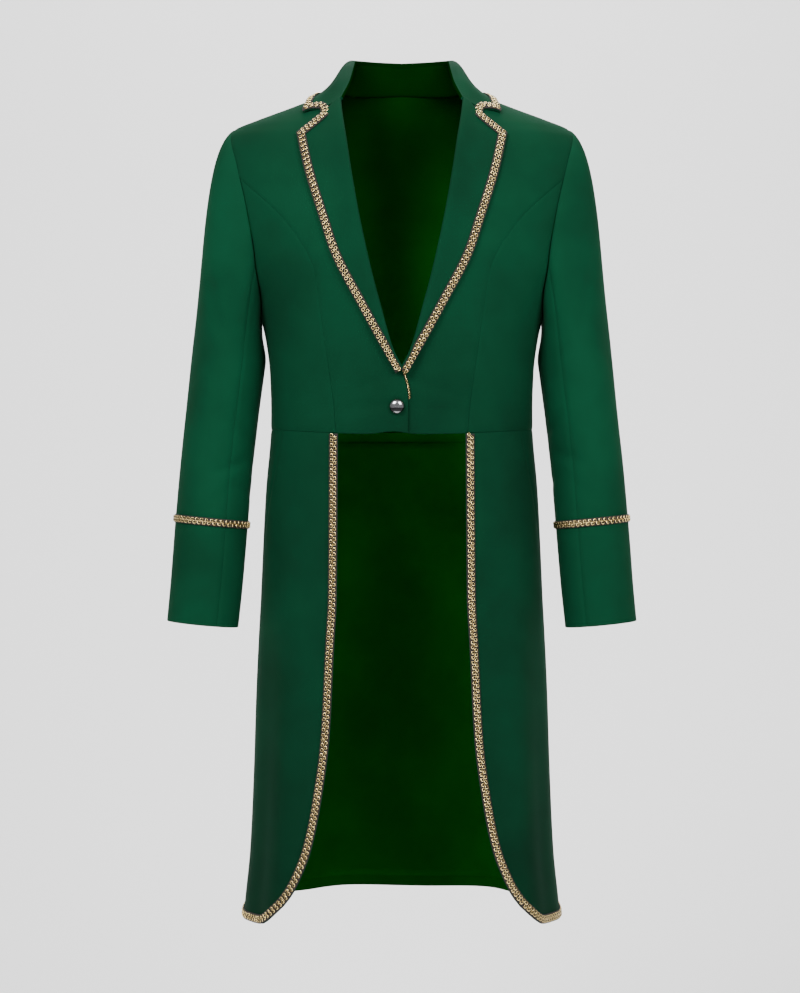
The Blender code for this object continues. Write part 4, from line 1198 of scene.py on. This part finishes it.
def weave_bump(material, shader, pitch, depth, strength):
    """Fine diagonal ribs across the cloth's own flat places, a rib each pitch, softened by a noise."""
    links = material.node_tree.links
    cut = cut_place(material)
    mapping = add_node(material, "ShaderNodeMapping", Rotation=(0.0, 0.0, RIB_TURN))
    ribs = add_node(material, "ShaderNodeTexWave", Scale=1 / pitch / WAVE_RATE * math.pi, Distortion=1.2,
                    Detail=1.0, Detail_Scale=3.0)
    nap = add_node(material, "ShaderNodeTexNoise", Scale=1400.0, Detail=2.0, Roughness=0.6)
    both = add_node(material, "ShaderNodeMath", "ADD")
    bump = add_node(material, "ShaderNodeBump", Strength=strength, Distance=depth)
    links.new(cut, mapping.inputs["Vector"])
    links.new(mapping.outputs["Vector"], ribs.inputs["Vector"])
    links.new(cut, nap.inputs["Vector"])
    links.new(ribs.outputs["Fac"], both.inputs[0])
    links.new(nap.outputs["Fac"], both.inputs[1])
    links.new(both.outputs["Value"], bump.inputs["Height"])
    links.new(bump.outputs["Normal"], shader.inputs["Normal"])


def shade(colour, factor):
    """A colour made lighter or darker."""
    return tuple(min(part * factor, 1.0) for part in colour)


def cloth_finish(settings, name="green_cloth_painted_shade", shades=BODY_PAINTED_SHADE):
    """Green woollen cloth: fine twill, a soft nap, colour that drifts a little over a hand's breadth, and
    painted light and shade that scales the colour by height.
    """
    found = bpy.data.materials.get(name)
    if found:
        return found
    made, shader = shader_of(name, 0.82)
    place = object_place(made)
    colour = tuple(settings.cloth_colour)
    tint = tint_noise(made, place, 8.0, shade(colour, 0.80), shade(colour, 1.18))
    # Painted light and shade: the colour is scaled by a share read off the height
    tint = multiplied(made, tint, by_height(made, place, shades), SHADE_SCALE)
    made.node_tree.links.new(tint, shader.inputs["Base Color"])
    weave_bump(made, shader, 0.0011, 0.00012, 0.55)
    shader.inputs["Sheen Weight"].default_value = 0.015
    shader.inputs["Sheen Roughness"].default_value = 0.45
    shader.inputs["Sheen Tint"].default_value = (0.35, 0.75, 0.50, 1)
    shader.inputs["Specular IOR Level"].default_value = 0.04
    return made


def lining_finish(settings, name="dark_lining_painted_light", factor=1.0):
    """Dark green lining: a smooth twill with a low satin sheen, and painted light and shade that scales its
    colour by height.
    """
    found = bpy.data.materials.get(name)
    if found:
        return found
    made, shader = shader_of(name, 0.55)
    place = object_place(made)
    colour = shade(tuple(settings.lining_colour), factor)
    tint = tint_noise(made, place, 12.0, shade(colour, 0.85), shade(colour, 1.18))
    # Painted light and shade: the colour is scaled by a share read off the height
    tint = multiplied(made, tint, by_height(made, place, LINING_PAINTED_LIGHT), SHADE_SCALE)
    made.node_tree.links.new(tint, shader.inputs["Base Color"])
    weave_bump(made, shader, 0.0007, 0.00005, 0.4)
    shader.inputs["Specular IOR Level"].default_value = 0.0
    return made


def gold_finish(settings):
    """Gold cord with painted shade: bright on the outer turn of each ring, painted darker inside it and where
    it passes under the next.

    The ring's own flat places, along and across, are read as a distance from its middle and a share along it;
    each darkens the gold from a small value up to full, as painted shade.
    """
    found = bpy.data.materials.get("gold_cord")
    if found:
        return found
    made, shader = shader_of("gold_cord", 0.24, 1.0)
    place = object_place(made)
    colour = tuple(settings.gold_colour)
    tint = tint_noise(made, place, 240.0, shade(colour, 0.70), shade(colour, 1.05))
    links = made.node_tree.links
    flat = cut_place(made)
    parts = add_node(made, "ShaderNodeSeparateXYZ")
    far = add_node(made, "ShaderNodeVectorMath", "LENGTH")
    links.new(flat, parts.inputs["Vector"])
    links.new(flat, far.inputs[0])
    half = settings.ring_length / 2
    # Painted shade: the gold is darkened towards each ring's hole and at the end that passes under the next
    for source, low, high in ((far.outputs["Value"], 0.50 * half, 0.74 * half),
                              (parts.outputs["X"], -0.90 * half, -0.25 * half)):
        painted_shade = add_node(made, "ShaderNodeMapRange", From_Min=low, From_Max=high, To_Min=0.14)
        links.new(source, painted_shade.inputs["Value"])
        tint = multiplied(made, tint, painted_shade.outputs["Result"], 1.0)
    links.new(tint, shader.inputs["Base Color"])
    turns = add_node(made, "ShaderNodeTexNoise", Scale=2600.0, Detail=1.0)
    bump = add_node(made, "ShaderNodeBump", Strength=0.35, Distance=0.0001)
    links.new(place, turns.inputs["Vector"])
    links.new(turns.outputs["Fac"], bump.inputs["Height"])
    links.new(bump.outputs["Normal"], shader.inputs["Normal"])
    return made


def thread_finish(settings):
    """The braid's dark ground of packed thread."""
    found = bpy.data.materials.get("dark_thread")
    if found:
        return found
    made, shader = shader_of("dark_thread", 0.85)
    place = object_place(made)
    colour = tuple(settings.thread_colour)
    tint = tint_noise(made, place, 300.0, shade(colour, 0.5), shade(colour, 1.6))
    made.node_tree.links.new(tint, shader.inputs["Base Color"])
    weave_bump(made, shader, 0.0008, 0.0002, 0.6)
    return made


def metal_finish(settings):
    """Polished metal with faint handling marks, and a painted dark reflection in a band across its lower
    half.
    """
    made, shader = shader_of("polished_metal", 0.14, 1.0)
    place = object_place(made)
    colour = tuple(settings.metal_colour)
    tint = tint_noise(made, place, 160.0, shade(colour, 0.90), shade(colour, 1.08))
    reach = settings.button_diameter
    # Painted reflection: a dark band across the button's lower half
    band = by_height(made, place, BUTTON_PAINTED_REFLECTION, BUTTON_Z - reach, BUTTON_Z + reach)
    links = made.node_tree.links
    links.new(multiplied(made, tint, band, SHADE_SCALE), shader.inputs["Base Color"])
    marks = add_node(made, "ShaderNodeTexNoise", Scale=700.0, Detail=4.0)
    levels = add_node(made, "ShaderNodeMapRange", To_Min=0.10, To_Max=0.24)
    links.new(place, marks.inputs["Vector"])
    links.new(marks.outputs["Fac"], levels.inputs["Value"])
    links.new(levels.outputs["Result"], shader.inputs["Roughness"])
    return made


def panel_piece(node, surface, domain, settings, sides, rise=None, right=False):
    """A cloth panel on a surface of turn and height, with its seam dips and creases."""
    if right:
        domain = other_side(domain)
        sides = (sides[1], sides[0], sides[2], sides[3])
    domain = domain[1:-1, 1:-1]
    outward = normals(surface, domain[..., 0], domain[..., 1])
    outer = surface(domain[..., 0], domain[..., 1])
    height = -seam_dip(outer, sides)
    if rise is not None:
        height = height + rise(outer)
    outer = outer + outward * height[..., None]
    parts = [shell(outer, outward, settings.cloth_thickness)]
    # Outside, the cloth with painted shade by height; inside, the lining with painted light and shade
    piece = fill_mesh(f"cloth_{node}", parts, (cloth_finish(settings), lining_finish(settings)))
    return dress(piece, node)


def lining_piece(node, surface, domain, settings):
    """A lining inside a panel, moved in from it by the cloth and a small gap."""
    domain = domain[1:-1, 1:-1]
    outward = normals(surface, domain[..., 0], domain[..., 1])
    inset = settings.cloth_thickness + LINING_GAP + SEAM_DEPTH / 2
    outer = surface(domain[..., 0], domain[..., 1]) - outward * inset
    parts = [shell(outer, outward, settings.lining_thickness)]
    # Both faces take the lining with painted light and shade by height
    piece = fill_mesh(f"cloth_{node}", parts, (lining_finish(settings), lining_finish(settings)))
    dress(piece, node)


class COAT_OT_bodice(bpy.types.Operator):
    """Make the fore parts, side bodies and back"""

    bl_idname = "coat.bodice"
    bl_label = "Bodice"

    def execute(self, context):
        """Add the five panels of the bodice and the lining of the back."""
        settings = context.scene.coat
        step = settings.cloth_step
        fronts = front_domain(*both_ways("front", step))
        flat = body(fronts[..., 0], fronts[..., 1])[1:-1, 1:-1]
        under = 1 - ramp((flat[..., 0] - LAP_REACH) / LAP_EASE)
        low = 1 - ramp((flat[..., 2] - BREAK_Z) / LAP_RISE)
        sink = (settings.cloth_thickness + LYING_GAP + LAP_SINK) * under * low
        free, sewn = (False, True, True, True), (True, True, True, True)
        left = panel_piece("front_left", body, lifted(fronts, -FRONT_RISE_X), settings, free,
                           lambda points: body_creases(points) - sink)
        right = panel_piece("front_right", body, lifted(fronts, FRONT_RISE_X), settings, free, body_creases,
                            right=True)
        sides = side_domain(*both_ways("side", step))
        for side in ("left", "right"):
            piece = panel_piece(f"side_{side}", body, sides, settings, sewn, body_creases, side == "right")
        back = back_domain(*both_ways("back", step))
        panel_piece("back", body, back, settings, sewn, body_creases)
        lining_piece("lining_back", body, back_domain(*lining_ways("lining_back")), settings)
        return {"FINISHED"}


class COAT_OT_skirt(bpy.types.Operator):
    """Make the front skirts, the back skirt and its lining"""

    bl_idname = "coat.skirt"
    bl_label = "Skirt"

    def execute(self, context):
        """Add the three skirt panels and the lining of the back one."""
        settings = context.scene.coat
        step = settings.cloth_step * SKIRT_COARSER
        fronts = skirt_front_domain(*both_ways("skirt_front", step))
        sides = (False, True, False, True)
        for side in ("left", "right"):
            piece = panel_piece(f"skirt_front_{side}", skirt, fronts, settings, sides, right=side == "right")
        rear = skirt_back_domain(*both_ways("skirt_back", step))
        piece = panel_piece("skirt_back", skirt, rear, settings, (True, True, False, True))
        lining = skirt_back_domain(*lining_ways("lining_skirt"))
        lining_piece("lining_skirt", skirt, lining, settings)
        return {"FINISHED"}


class COAT_OT_sleeves(bpy.types.Operator):
    """Make the two halves of each sleeve"""

    bl_idname = "coat.sleeves"
    bl_label = "Sleeves"

    def execute(self, context):
        """Add the top and under halves, left and right, each side with its own creases."""
        settings = context.scene.coat
        # A copy of the cloth with painted light: lighter on the upper arm, a little darker at the cuff
        finishes = (cloth_finish(settings, "sleeve_cloth_painted_light", SLEEVE_PAINTED_LIGHT), lining_finish(settings))
        halves = (("sleeve_top", -SLEEVE_SEAM, SLEEVE_SEAM),
                  ("sleeve_under", SLEEVE_SEAM, 2 * math.pi - SLEEVE_SEAM))
        for half, first, last in halves:
            across, along = both_ways(half, settings.cloth_step)
            phi, down = np.meshgrid(between(first, last, across)[1:-1], 2 * along[1:-1], indexing="ij")
            outward = sleeve_normals(phi, down)
            flat = sleeve(phi, down)
            for side in ("left", "right"):
                rise = sleeve_creases(phi, down, side == "right") - seam_dip(flat, (True, True, True, False))
                outer, up = flat + outward * rise[..., None], outward
                if side == "right":
                    outer, up = mirrored(outer), mirrored(outward)
                parts = [shell(outer, up, settings.cloth_thickness)]
                piece = fill_mesh(f"cloth_{half}_{side}", parts, finishes)
                dress(piece, f"{half}_{side}")
        return {"FINISHED"}


class COAT_OT_collar(bpy.types.Operator):
    """Make the lapels, the collar's fall and its stand"""

    bl_idname = "coat.collar"
    bl_label = "Collar and lapels"

    def execute(self, context):
        """Add both lapels with their soft rolls, the fall over its fold, and the stand."""
        settings = context.scene.coat
        # A copy of the cloth with painted shade for lapels and collar, and a copy of the lining with stronger
        # painted shade for the collar's inner side
        finishes = (cloth_finish(settings, "lapel_cloth_painted_shade", LAPEL_PAINTED_SHADE),
                    lining_finish(settings, "neck_lining_painted_shade", NECK_SHADE))
        self.add_lapels(settings, finishes)
        self.add_fall(settings, finishes)
        self.add_stand(finishes)
        return {"FINISHED"}

    def add_lapels(self, settings, finishes):
        """Both lapels, each with the roll that takes it back to the fore part's edge."""
        breadth, length = SPANS["lapel"]
        folded = np.concatenate([np.linspace(-1, 0, FOLD_LINES)[:-1], lines(breadth, FINE_STEP)[:-1]])
        out, up = np.meshgrid(folded, lines(length, settings.cloth_step)[1:-1], indexing="ij")
        points = lapel_face(out, up)
        outward = grid_normals(points)
        for side in ("left", "right"):
            outer, ups = (points, outward) if side == "left" else (mirrored(points), mirrored(outward))
            piece = fill_mesh(f"cloth_lapel_{side}", [shell(outer, ups, WALL, slots=(0, 0, 0))], finishes)
            dress(piece, f"lapel_{side}")

    def add_fall(self, settings, finishes):
        """The collar's fall, over its fold and a little way down inside."""
        length, breadth = SPANS["collar_fall"]
        folded = np.concatenate([np.linspace(-1, 0, FOLD_LINES)[:-1], lines(breadth, FINE_STEP)[:-1]])
        turn, out = np.meshgrid(1 - 2 * lines(length, settings.cloth_step)[1:-1], folded[::-1], indexing="ij")
        points = collar(turn, out)
        part = shell(points, grid_normals(points), WALL, slots=(0, 0, 0))
        # Past the fold, the fall's inner side takes the lining with painted shade
        inside = np.broadcast_to(out[:-1, :-1] < COLLAR_INSIDE, (len(out) - 1, out.shape[1] - 1)).ravel()
        part[3][:inside.size][inside] = 1
        piece = fill_mesh("cloth_collar_fall", [part], finishes)
        dress(piece, "collar_fall")

    def add_stand(self, finishes):
        """The stand, ruled from just inside the neck seam up to just under the fold."""
        turn = between(STAND_END, -STAND_END, np.linspace(0, 1, STAND_LINES[0]))
        seam = neck_line(turn)
        within = normals(body, seam[:, 0], seam[:, 1]) * (WALL + LINING_GAP)
        foot = body(seam[:, 0], seam[:, 1]) - within - np.array([0.0, 0.0, STAND_LAP])
        inward = unit(collar_fold(turn) * np.array([-1.0, -1.0, 0.0]))
        head = collar_fold(turn) + inward * STAND_INSET - np.array([0.0, 0.0, STAND_DROP])
        share = np.linspace(0, 1, STAND_LINES[1])[None, :, None]
        stand = foot[:, None] * (1 - share) + head[:, None] * share
        # The stand's inner side and its edge take the lining with painted shade
        parts = [shell(stand, grid_normals(stand), WALL - STAND_THINNER, slots=(0, 1, 1))]
        piece = fill_mesh("cloth_collar_stand", parts, finishes)
        dress(piece, "collar_stand")


def inside_range(places, limits, step):
    """The two coordinates of places on a surface, kept two steps inside its range."""
    return [np.clip(places[..., k], limits[0][k] + 2 * step, limits[1][k] - 2 * step) for k in (0, 1)]


def stepped(surface, line, step, limits, small=1e-4):
    """The place reached from each place of a line by a small step in space, by the surface's slopes."""
    a, b = inside_range(line, limits, small)
    first = (surface(a + small, b) - surface(a - small, b)) / (2 * small)
    second = (surface(a, b + small) - surface(a, b - small)) / (2 * small)
    slopes = np.stack([first, second], axis=-1)
    return line + np.einsum("nij,nj->ni", np.linalg.pinv(slopes), step)


def up_from(surface, places, limits, step=1e-4):
    """Outward unit normals of a surface, taken a little inside its range."""
    return normals(surface, *inside_range(places, limits, step), step)


def braid_band(surface, line, limits, least=None):
    """Points and normals of a band's two border lines, given its outer one; it lies to that line's left."""
    points = surface(line[:, 0], line[:, 1])
    inward = unit(np.cross(up_from(surface, line, limits), np.gradient(points, axis=0)))
    inner = stepped(surface, line, inward * BRAID_WIDTH, limits)
    if least is not None:
        inner[:, 0] = np.maximum(inner[:, 0], least)
    both = np.stack([line, inner], axis=1)
    return surface(both[..., 0], both[..., 1]), up_from(surface, both, limits)


def flip_band(band):
    """A band taken to the -X side, run the other way."""
    return tuple(part[::-1] * np.array([-1.0, 1.0, 1.0]) for part in band)


def pulled_back(line, meet):
    """A line whose last rows are drawn back along it, until the last one lies where row meet was."""
    reach = reach_along(line)
    cut = max(reach[-1] - reach[meet], 1e-9)
    span = min(cut * MITRE_SPREAD, reach[-1])
    pulled = reach - cut * np.clip(1 - (reach[-1] - reach) / span, 0, 1)
    return np.stack([np.interp(pulled, reach, line[:, k]) for k in range(3)], axis=-1)


def mitre(first, second):
    """Two bands that meet at a corner, their inner lines drawn back to where they cross."""
    a, b = first[0][:, 1], second[0][:, 1]
    away = np.linalg.norm(a[:, None] - b[None], axis=-1)
    i, j = np.unravel_index(np.argmin(away), away.shape)
    a, b = pulled_back(a, i), pulled_back(b[::-1], len(b) - 1 - j)[::-1]
    a[-1] = b[0] = (a[-1] + b[0]) / 2
    return ((np.stack([first[0][:, 0], a], axis=1), first[1]),
            (np.stack([second[0][:, 0], b], axis=1), second[1]))


def turned_band(first, second):
    """A band that fans round from the end of one band to the start of the next, about their outer lines."""
    share = np.linspace(0.0, 1.0, POINTS["turn"])[:, None]
    start, end = first[0][-1], second[0][0]
    length = [np.linalg.norm(pair[1] - pair[0]) for pair in (start, end)]
    way = [(pair[1] - pair[0]) / size for pair, size in zip((start, end), length)]
    angle = math.acos(float(np.dot(*way)))
    spoke = (way[0] * np.sin((1 - share) * angle) + way[1] * np.sin(share * angle)) / math.sin(angle)
    middle = between(start[0], end[0], share)
    far = middle + spoke * between(length[0], length[1], share)
    return np.stack([middle, far], axis=1), unit(between(first[1][-1], second[1][0], share[..., None]))


def even_places(line, count):
    """Row numbers, with fractions, of evenly spaced places along a line of points."""
    reach = reach_along(line)
    wanted = (np.arange(count) + 0.5) / count * reach[-1]
    return np.interp(wanted, reach, np.arange(len(line)))


def read_rows(rows, places):
    """Rows of an array at places between them."""
    low = np.clip(np.floor(places).astype(int), 0, len(rows) - 2)
    part = (places - low)[:, None]
    return rows[low] * (1 - part) + rows[low + 1] * part


def ring_form(settings, scale):
    """A ring lying flat: a flat cord taken round an oval, as along, across and up."""
    turn = np.linspace(0, 2 * math.pi, RING_SIDES, endpoint=False)[:, None]
    cord = np.linspace(0, 2 * math.pi, CORD_SIDES, endpoint=False)[None, :] + math.pi / CORD_SIDES
    half = settings.ring_cord / 2
    off = half * (np.cos(cord) - 1)
    long, wide = settings.ring_length / 2 + off, settings.ring_width / 2 + off
    high = half * CORD_FLATNESS * np.sin(cord) + 0 * turn
    form = np.stack([long * np.cos(turn), wide * np.sin(turn), high], -1)
    numbers = np.arange(RING_SIDES * CORD_SIDES).reshape(RING_SIDES, CORD_SIDES)
    next_turn, next_cord = np.roll(numbers, -1, axis=0), np.roll(numbers, -1, axis=1)
    quads = np.stack([numbers, next_turn, np.roll(next_turn, -1, axis=1), next_cord], -1).reshape(-1, 4)
    return form.reshape(-1, 3) * scale, quads


def ring_row(band, share, shift, settings, scale):
    """A row of rings along a band, at a share of its width, as points and faces.

    Each ring is the ring form set in the frame of the way along, the way across and the way up;
    each ring tips along the row, one a little more than the next, so that it seems to pass over it.
    """
    points, ups = band
    line = points[:, 0] * (1 - share) + points[:, 1] * share
    up = unit(ups[:, 0] * (1 - share) + ups[:, 1] * share)
    count = max(int(round(reach_along(line)[-1] / settings.ring_pitch / scale)), 1)
    places = even_places(line, count)
    places = np.clip(places + shift * (len(line) - 1) / count, 0, len(line) - 1)
    centre = read_rows(line, places)
    rise = unit(read_rows(up, places))
    along = read_rows(np.gradient(line, axis=0), places)
    along = unit(along - rise * np.sum(along * rise, axis=-1, keepdims=True))
    tip = RING_TIP * np.where(np.arange(count) % 2 == 0, 1.0, RING_TIP_EASE)[:, None]
    along, rise = unit(along + rise * tip), unit(rise - along * tip)
    across = np.cross(rise, along)
    form, quads = ring_form(settings, scale)
    lift = rise * (LYING_GAP + BAND_THICKNESS + settings.ring_cord * scale * RING_LIFT)
    ways = np.stack([along, across, rise], axis=1)
    placed = (centre + lift)[:, None] + np.einsum("mk,nkj->nmj", form, ways)
    faces = quads[None] + (np.arange(count) * len(form))[:, None, None]
    places = np.tile(form[:, :2] / scale, (count, 1))
    return placed.reshape(-1, 3), faces.reshape(-1, 4), places, np.zeros(count * len(quads))


def braid_parts(bands, settings, scale=1.0):
    """The dark ground and both rows of rings of each band."""
    parts = []
    for points, ups in bands:
        share = np.linspace(0, 1, BAND_LINES)[None, :, None]
        flat = points[:, :1] * (1 - share) + points[:, 1:] * share
        up = unit(ups[:, :1] * (1 - share) + ups[:, 1:] * share)
        ground = flat + up * (LYING_GAP + BAND_THICKNESS)
        parts.append(shell(ground, up, BAND_THICKNESS, slots=(1, 1, 1)))
        for place, shift in ((ROW_PLACE, -ROW_SHIFT), (1 - ROW_PLACE, ROW_SHIFT)):
            parts.append(ring_row((points, ups), place, shift, settings, scale))
    return parts


def add_braid(node, bands, settings, slivers=()):
    """A piece of braid that stands for its CAD node; slivers are bands of small rings."""
    finishes = (gold_finish(settings), thread_finish(settings))
    parts = braid_parts(bands, settings) + braid_parts(slivers, settings, SLIVER_SCALE)
    return dress(fill_mesh(f"braid_{node[5:]}", parts, finishes), node)


def lapel_bands():
    """The left lapel's bands: up the outer edge, in along the upper edge, and round to the collar's end."""
    up = np.linspace(0.0, 1.0, POINTS["lapel"])
    edge = braid_band(lapel_face, np.stack([np.ones_like(up), up], axis=-1), LAPEL_RANGE, BREAK_SHARE)
    out = np.linspace(1.0, NOTCH_SHARE, POINTS["end"])
    upper = braid_band(lapel_face, np.stack([out, np.ones_like(out)], axis=-1), LAPEL_RANGE)
    edge, upper = mitre(edge, upper)
    return edge, upper, turned_band(upper, collar_end())


def edge_sliver():
    """The narrow band beside the right fore part's edge below the break, turned half to the front."""
    z = np.linspace(BREAK_Z + SLIVER_START, SLIVER_END_Z, SLIVER_POINTS)
    edge = body(-turn_at(BODY, read(FRONT_EDGE, "x", z), z), z)
    outward = np.tile(unit(SLIVER_OUTWARD), (len(z), 2, 1))
    return np.stack([edge + SLIVER_SET_IN, edge + SLIVER_ACROSS], axis=1)[::-1], outward


def collar_end():
    """The band out along the collar's left front end, from the notch's inner end to the point."""
    out = np.linspace(COLLAR_NOTCH_SHARE, 1.0, POINTS["end"])
    return braid_band(collar, np.stack([np.ones_like(out), out], axis=-1), COLLAR_RANGE)


def collar_bands():
    """The collar's bands: out along one front end, round the long edge, in along the other end."""
    turn = np.linspace(1.0, -1.0, POINTS["collar"])
    long_edge = braid_band(collar, np.stack([turn, np.ones_like(turn)], axis=-1), COLLAR_RANGE)
    first, long_edge = mitre(collar_end(), long_edge)
    long_edge, last = mitre(long_edge, flip_band(collar_end()))
    return first, long_edge, last


def skirt_band():
    """The band down a left front skirt's edge, round its corner and along the hem to the side seam."""
    z = between(waist_edge_z() - WAIST_GAP, SKIRT_EDGE[1][0], np.linspace(0, 1, POINTS["skirt"]))[:-1]
    down = np.stack([turn_at(SKIRT, read(SKIRT_EDGE, "x", z), z), z], axis=-1)
    line = np.concatenate([down, corner_hem(np.linspace(0, 1, POINTS["corner"]))])
    return braid_band(skirt, line, SKIRT_RANGE)


def hem_band():
    """The band along the back skirt's hem, from side seam to side seam."""
    first = math.radians(float(read(SIDE_SEAM, "turn", HEM_Z))) + SEAM_TURN_GAP
    turn = np.linspace(first, 2 * math.pi - first, POINTS["hem"])
    return braid_band(skirt, np.stack([turn, hem(turn)], axis=-1), SKIRT_RANGE)


def cuff_band():
    """The band round the left sleeve, starting and ending at the inner seam."""
    phi = np.linspace(0, 2 * math.pi, POINTS["cuff"]) + math.pi
    half = CUFF_BRAID_WIDTH / 2 / (ARM_TOP_Z - CUFF_Z)
    middle = 1 + (CUFF_BRAID_Z - ARM_TOP_Z) / (CUFF_Z - ARM_TOP_Z)
    phi, down = np.meshgrid(phi, np.array([middle - half, middle + half]), indexing="ij")
    return sleeve(phi, down), sleeve_normals(phi, down)


class COAT_OT_braid(bpy.types.Operator):
    """Make the gold ring braid on every edge"""

    bl_idname = "coat.braid"
    bl_label = "Ring braid"

    def execute(self, context):
        """Add the braid of the lapels, collar, skirt, hem and sleeves."""
        settings = context.scene.coat
        self.add_pair("lapel", lapel_bands(), settings, [edge_sliver()])
        add_braid("trim_collar", collar_bands(), settings)
        self.add_pair("skirt", [skirt_band()], settings)
        add_braid("trim_hem_back", [hem_band()], settings)
        self.add_pair("cuff", [cuff_band()], settings)
        return {"FINISHED"}

    def add_pair(self, name, bands, settings, slivers=()):
        """The same braid on the left and, mirrored, on the right, where slivers are added."""
        add_braid(f"trim_{name}_left", bands, settings)
        add_braid(f"trim_{name}_right", [flip_band(band) for band in bands], settings, slivers)


class COAT_OT_button(bpy.types.Operator):
    """Make the domed metal button"""

    bl_idname = "coat.button"
    bl_label = "Button"

    def execute(self, context):
        """Add the button: a profile of rim, dome and back turned round the way out of the cloth."""
        settings = context.scene.coat
        radius = column(BUTTON_PROFILE, "radius") * settings.button_diameter / 2
        height = column(BUTTON_PROFILE, "height") * settings.button_height
        z = np.array(BUTTON_Z)
        turn = turn_at(BODY, np.array(BUTTON_X), z)
        outward = normals(body, turn, z)
        centre = body(turn, z) + outward * LYING_GAP
        level = unit(np.cross(np.array([0.0, 0.0, 1.0]), outward))
        rise = np.cross(outward, level)
        angle = np.linspace(0, 2 * math.pi, BUTTON_SIDES, endpoint=False)
        spoke = level * np.cos(angle)[:, None] + rise * np.sin(angle)[:, None]
        rings = centre + spoke[None] * radius[:, None, None] + outward * height[:, None, None]
        points = rings.reshape(-1, 3)
        numbers = np.arange(len(points)).reshape(len(radius), BUTTON_SIDES)
        after = np.roll(numbers, -1, axis=1)
        quads = np.stack([numbers[:-1], after[:-1], after[1:], numbers[1:]], -1).reshape(-1, 4)
        parts = [(points, quads, points[:, ::2], np.zeros(len(quads)))]
        piece = fill_mesh("metal_button", parts, (metal_finish(settings),))
        self.close_poles(piece)
        dress(piece, "button")
        return {"FINISHED"}

    def close_poles(self, piece):
        """Merge the first and last rings of the profile, which have no breadth, into single points."""
        mesh = bmesh.new()
        mesh.from_mesh(piece.data)
        bmesh.ops.remove_doubles(mesh, verts=mesh.verts, dist=1e-6)
        mesh.to_mesh(piece.data)
        mesh.free()


class COAT_OT_stage(bpy.types.Operator):
    """Make the pale floor and backdrop, the studio lights and the camera"""

    bl_idname = "coat.stage"
    bl_label = "Stage"

    def execute(self, context):
        """Add a sweep of floor and backdrop, broad lights, an even sky and the camera."""
        settings = context.scene.coat
        self.add_backdrop(settings)
        for row in LIGHTS[1:]:
            self.add_light(*row)
        world = bpy.data.worlds.new("even_sky")
        world.use_nodes = True
        sky = world.node_tree.nodes["Background"]
        sky.inputs["Color"].default_value = (1.0, 1.0, 1.0, 1)
        sky.inputs["Strength"].default_value = SKY_STRENGTH
        context.scene.world = world
        lens = bpy.data.cameras.new("front_camera")
        lens.sensor_width = SENSOR_WIDTH
        lens.lens = SENSOR_WIDTH * CAMERA_DISTANCE / CAMERA_REACH
        lens.shift_x = CAMERA_SHIFT
        lens.dof.use_dof = False
        camera = bpy.data.objects.new("front_camera", lens)
        camera.location = (0.0, -CAMERA_DISTANCE, CAMERA_Z)
        camera.rotation_euler = (math.pi / 2, 0.0, 0.0)
        context.scene.collection.objects.link(camera)
        context.scene.camera = camera
        return {"FINISHED"}

    def add_backdrop(self, settings):
        """A floor that sweeps up into a wall: a flat run, a quarter circle and an upright run."""
        angle = np.linspace(0, math.pi / 2, SWEEP_LINES)
        wall_y = SWEEP_Y + SWEEP_RADIUS
        depth = np.concatenate([[-SWEEP_REACH], SWEEP_Y + SWEEP_RADIUS * np.sin(angle), [wall_y]])
        height = np.concatenate([[0.0], SWEEP_RADIUS * (1 - np.cos(angle)), [SWEEP_HEIGHT]]) + FLOOR_Z
        across = np.linspace(-SWEEP_REACH, SWEEP_REACH, 3)
        points = np.stack(np.broadcast_arrays(across[:, None], depth[None], height[None]), axis=-1)
        numbers = np.arange(points.shape[0] * points.shape[1]).reshape(points.shape[:2])
        quads = np.stack([numbers[:-1, :-1], numbers[1:, :-1], numbers[1:, 1:], numbers[:-1, 1:]], -1)
        made, shader = shader_of("pale_backdrop", 0.95)
        shader.inputs["Base Color"].default_value = (*settings.backdrop_colour, 1)
        shader.inputs["Specular IOR Level"].default_value = 0.0
        quads = quads.reshape(-1, 4)
        points = points.reshape(-1, 3)
        part = (points, quads, points[:, :2], np.zeros(len(quads)))
        fill_mesh("floor_and_backdrop", [part], (made,))

    def add_light(self, name, place, aim, size, power):
        """A square area light that faces the place it is aimed at."""
        lamp = bpy.data.lights.new(name, "AREA")
        lamp.shape = "SQUARE"
        lamp.size = size
        lamp.energy = power
        light = bpy.data.objects.new(name, lamp)
        light.location = place
        light.rotation_euler = (Vector(aim) - Vector(place)).to_track_quat("-Z", "Y").to_euler()
        bpy.context.scene.collection.objects.link(light)


class COAT_PT_panel(bpy.types.Panel):
    """The coat's pieces and sizes"""

    bl_idname = "COAT_PT_panel"
    bl_label = "Coat"
    bl_space_type = "VIEW_3D"
    bl_region_type = "UI"
    bl_category = "Coat"

    def draw(self, context):
        """List the sizes, the colours and the operators."""
        layout = self.layout
        for name in CoatSettings.__annotations__:
            layout.prop(context.scene.coat, name)
        for operator in OPERATORS:
            layout.operator(operator.bl_idname)


OPERATORS = (COAT_OT_bodice, COAT_OT_skirt, COAT_OT_sleeves, COAT_OT_collar, COAT_OT_braid, COAT_OT_button,
             COAT_OT_stage)
CLASSES = (CoatSettings,) + OPERATORS + (COAT_PT_panel,)


def register():
    """Add the classes and the scene's settings."""
    for item in CLASSES:
        bpy.utils.register_class(item)
    bpy.types.Scene.coat = bpy.props.PointerProperty(type=CoatSettings)


def unregister():
    """Take the scene's settings and the classes away."""
    del bpy.types.Scene.coat
    for item in reversed(CLASSES):
        bpy.utils.unregister_class(item)


def main():
    """Make every piece and the stage."""
    register()
    steps = (bpy.ops.coat.bodice, bpy.ops.coat.skirt, bpy.ops.coat.sleeves, bpy.ops.coat.collar,
             bpy.ops.coat.braid, bpy.ops.coat.button, bpy.ops.coat.stage)
    for make in steps:
        if make() != {"FINISHED"}:
            raise RuntimeError("a piece was not made")


if __name__ == "__main__":
    main()
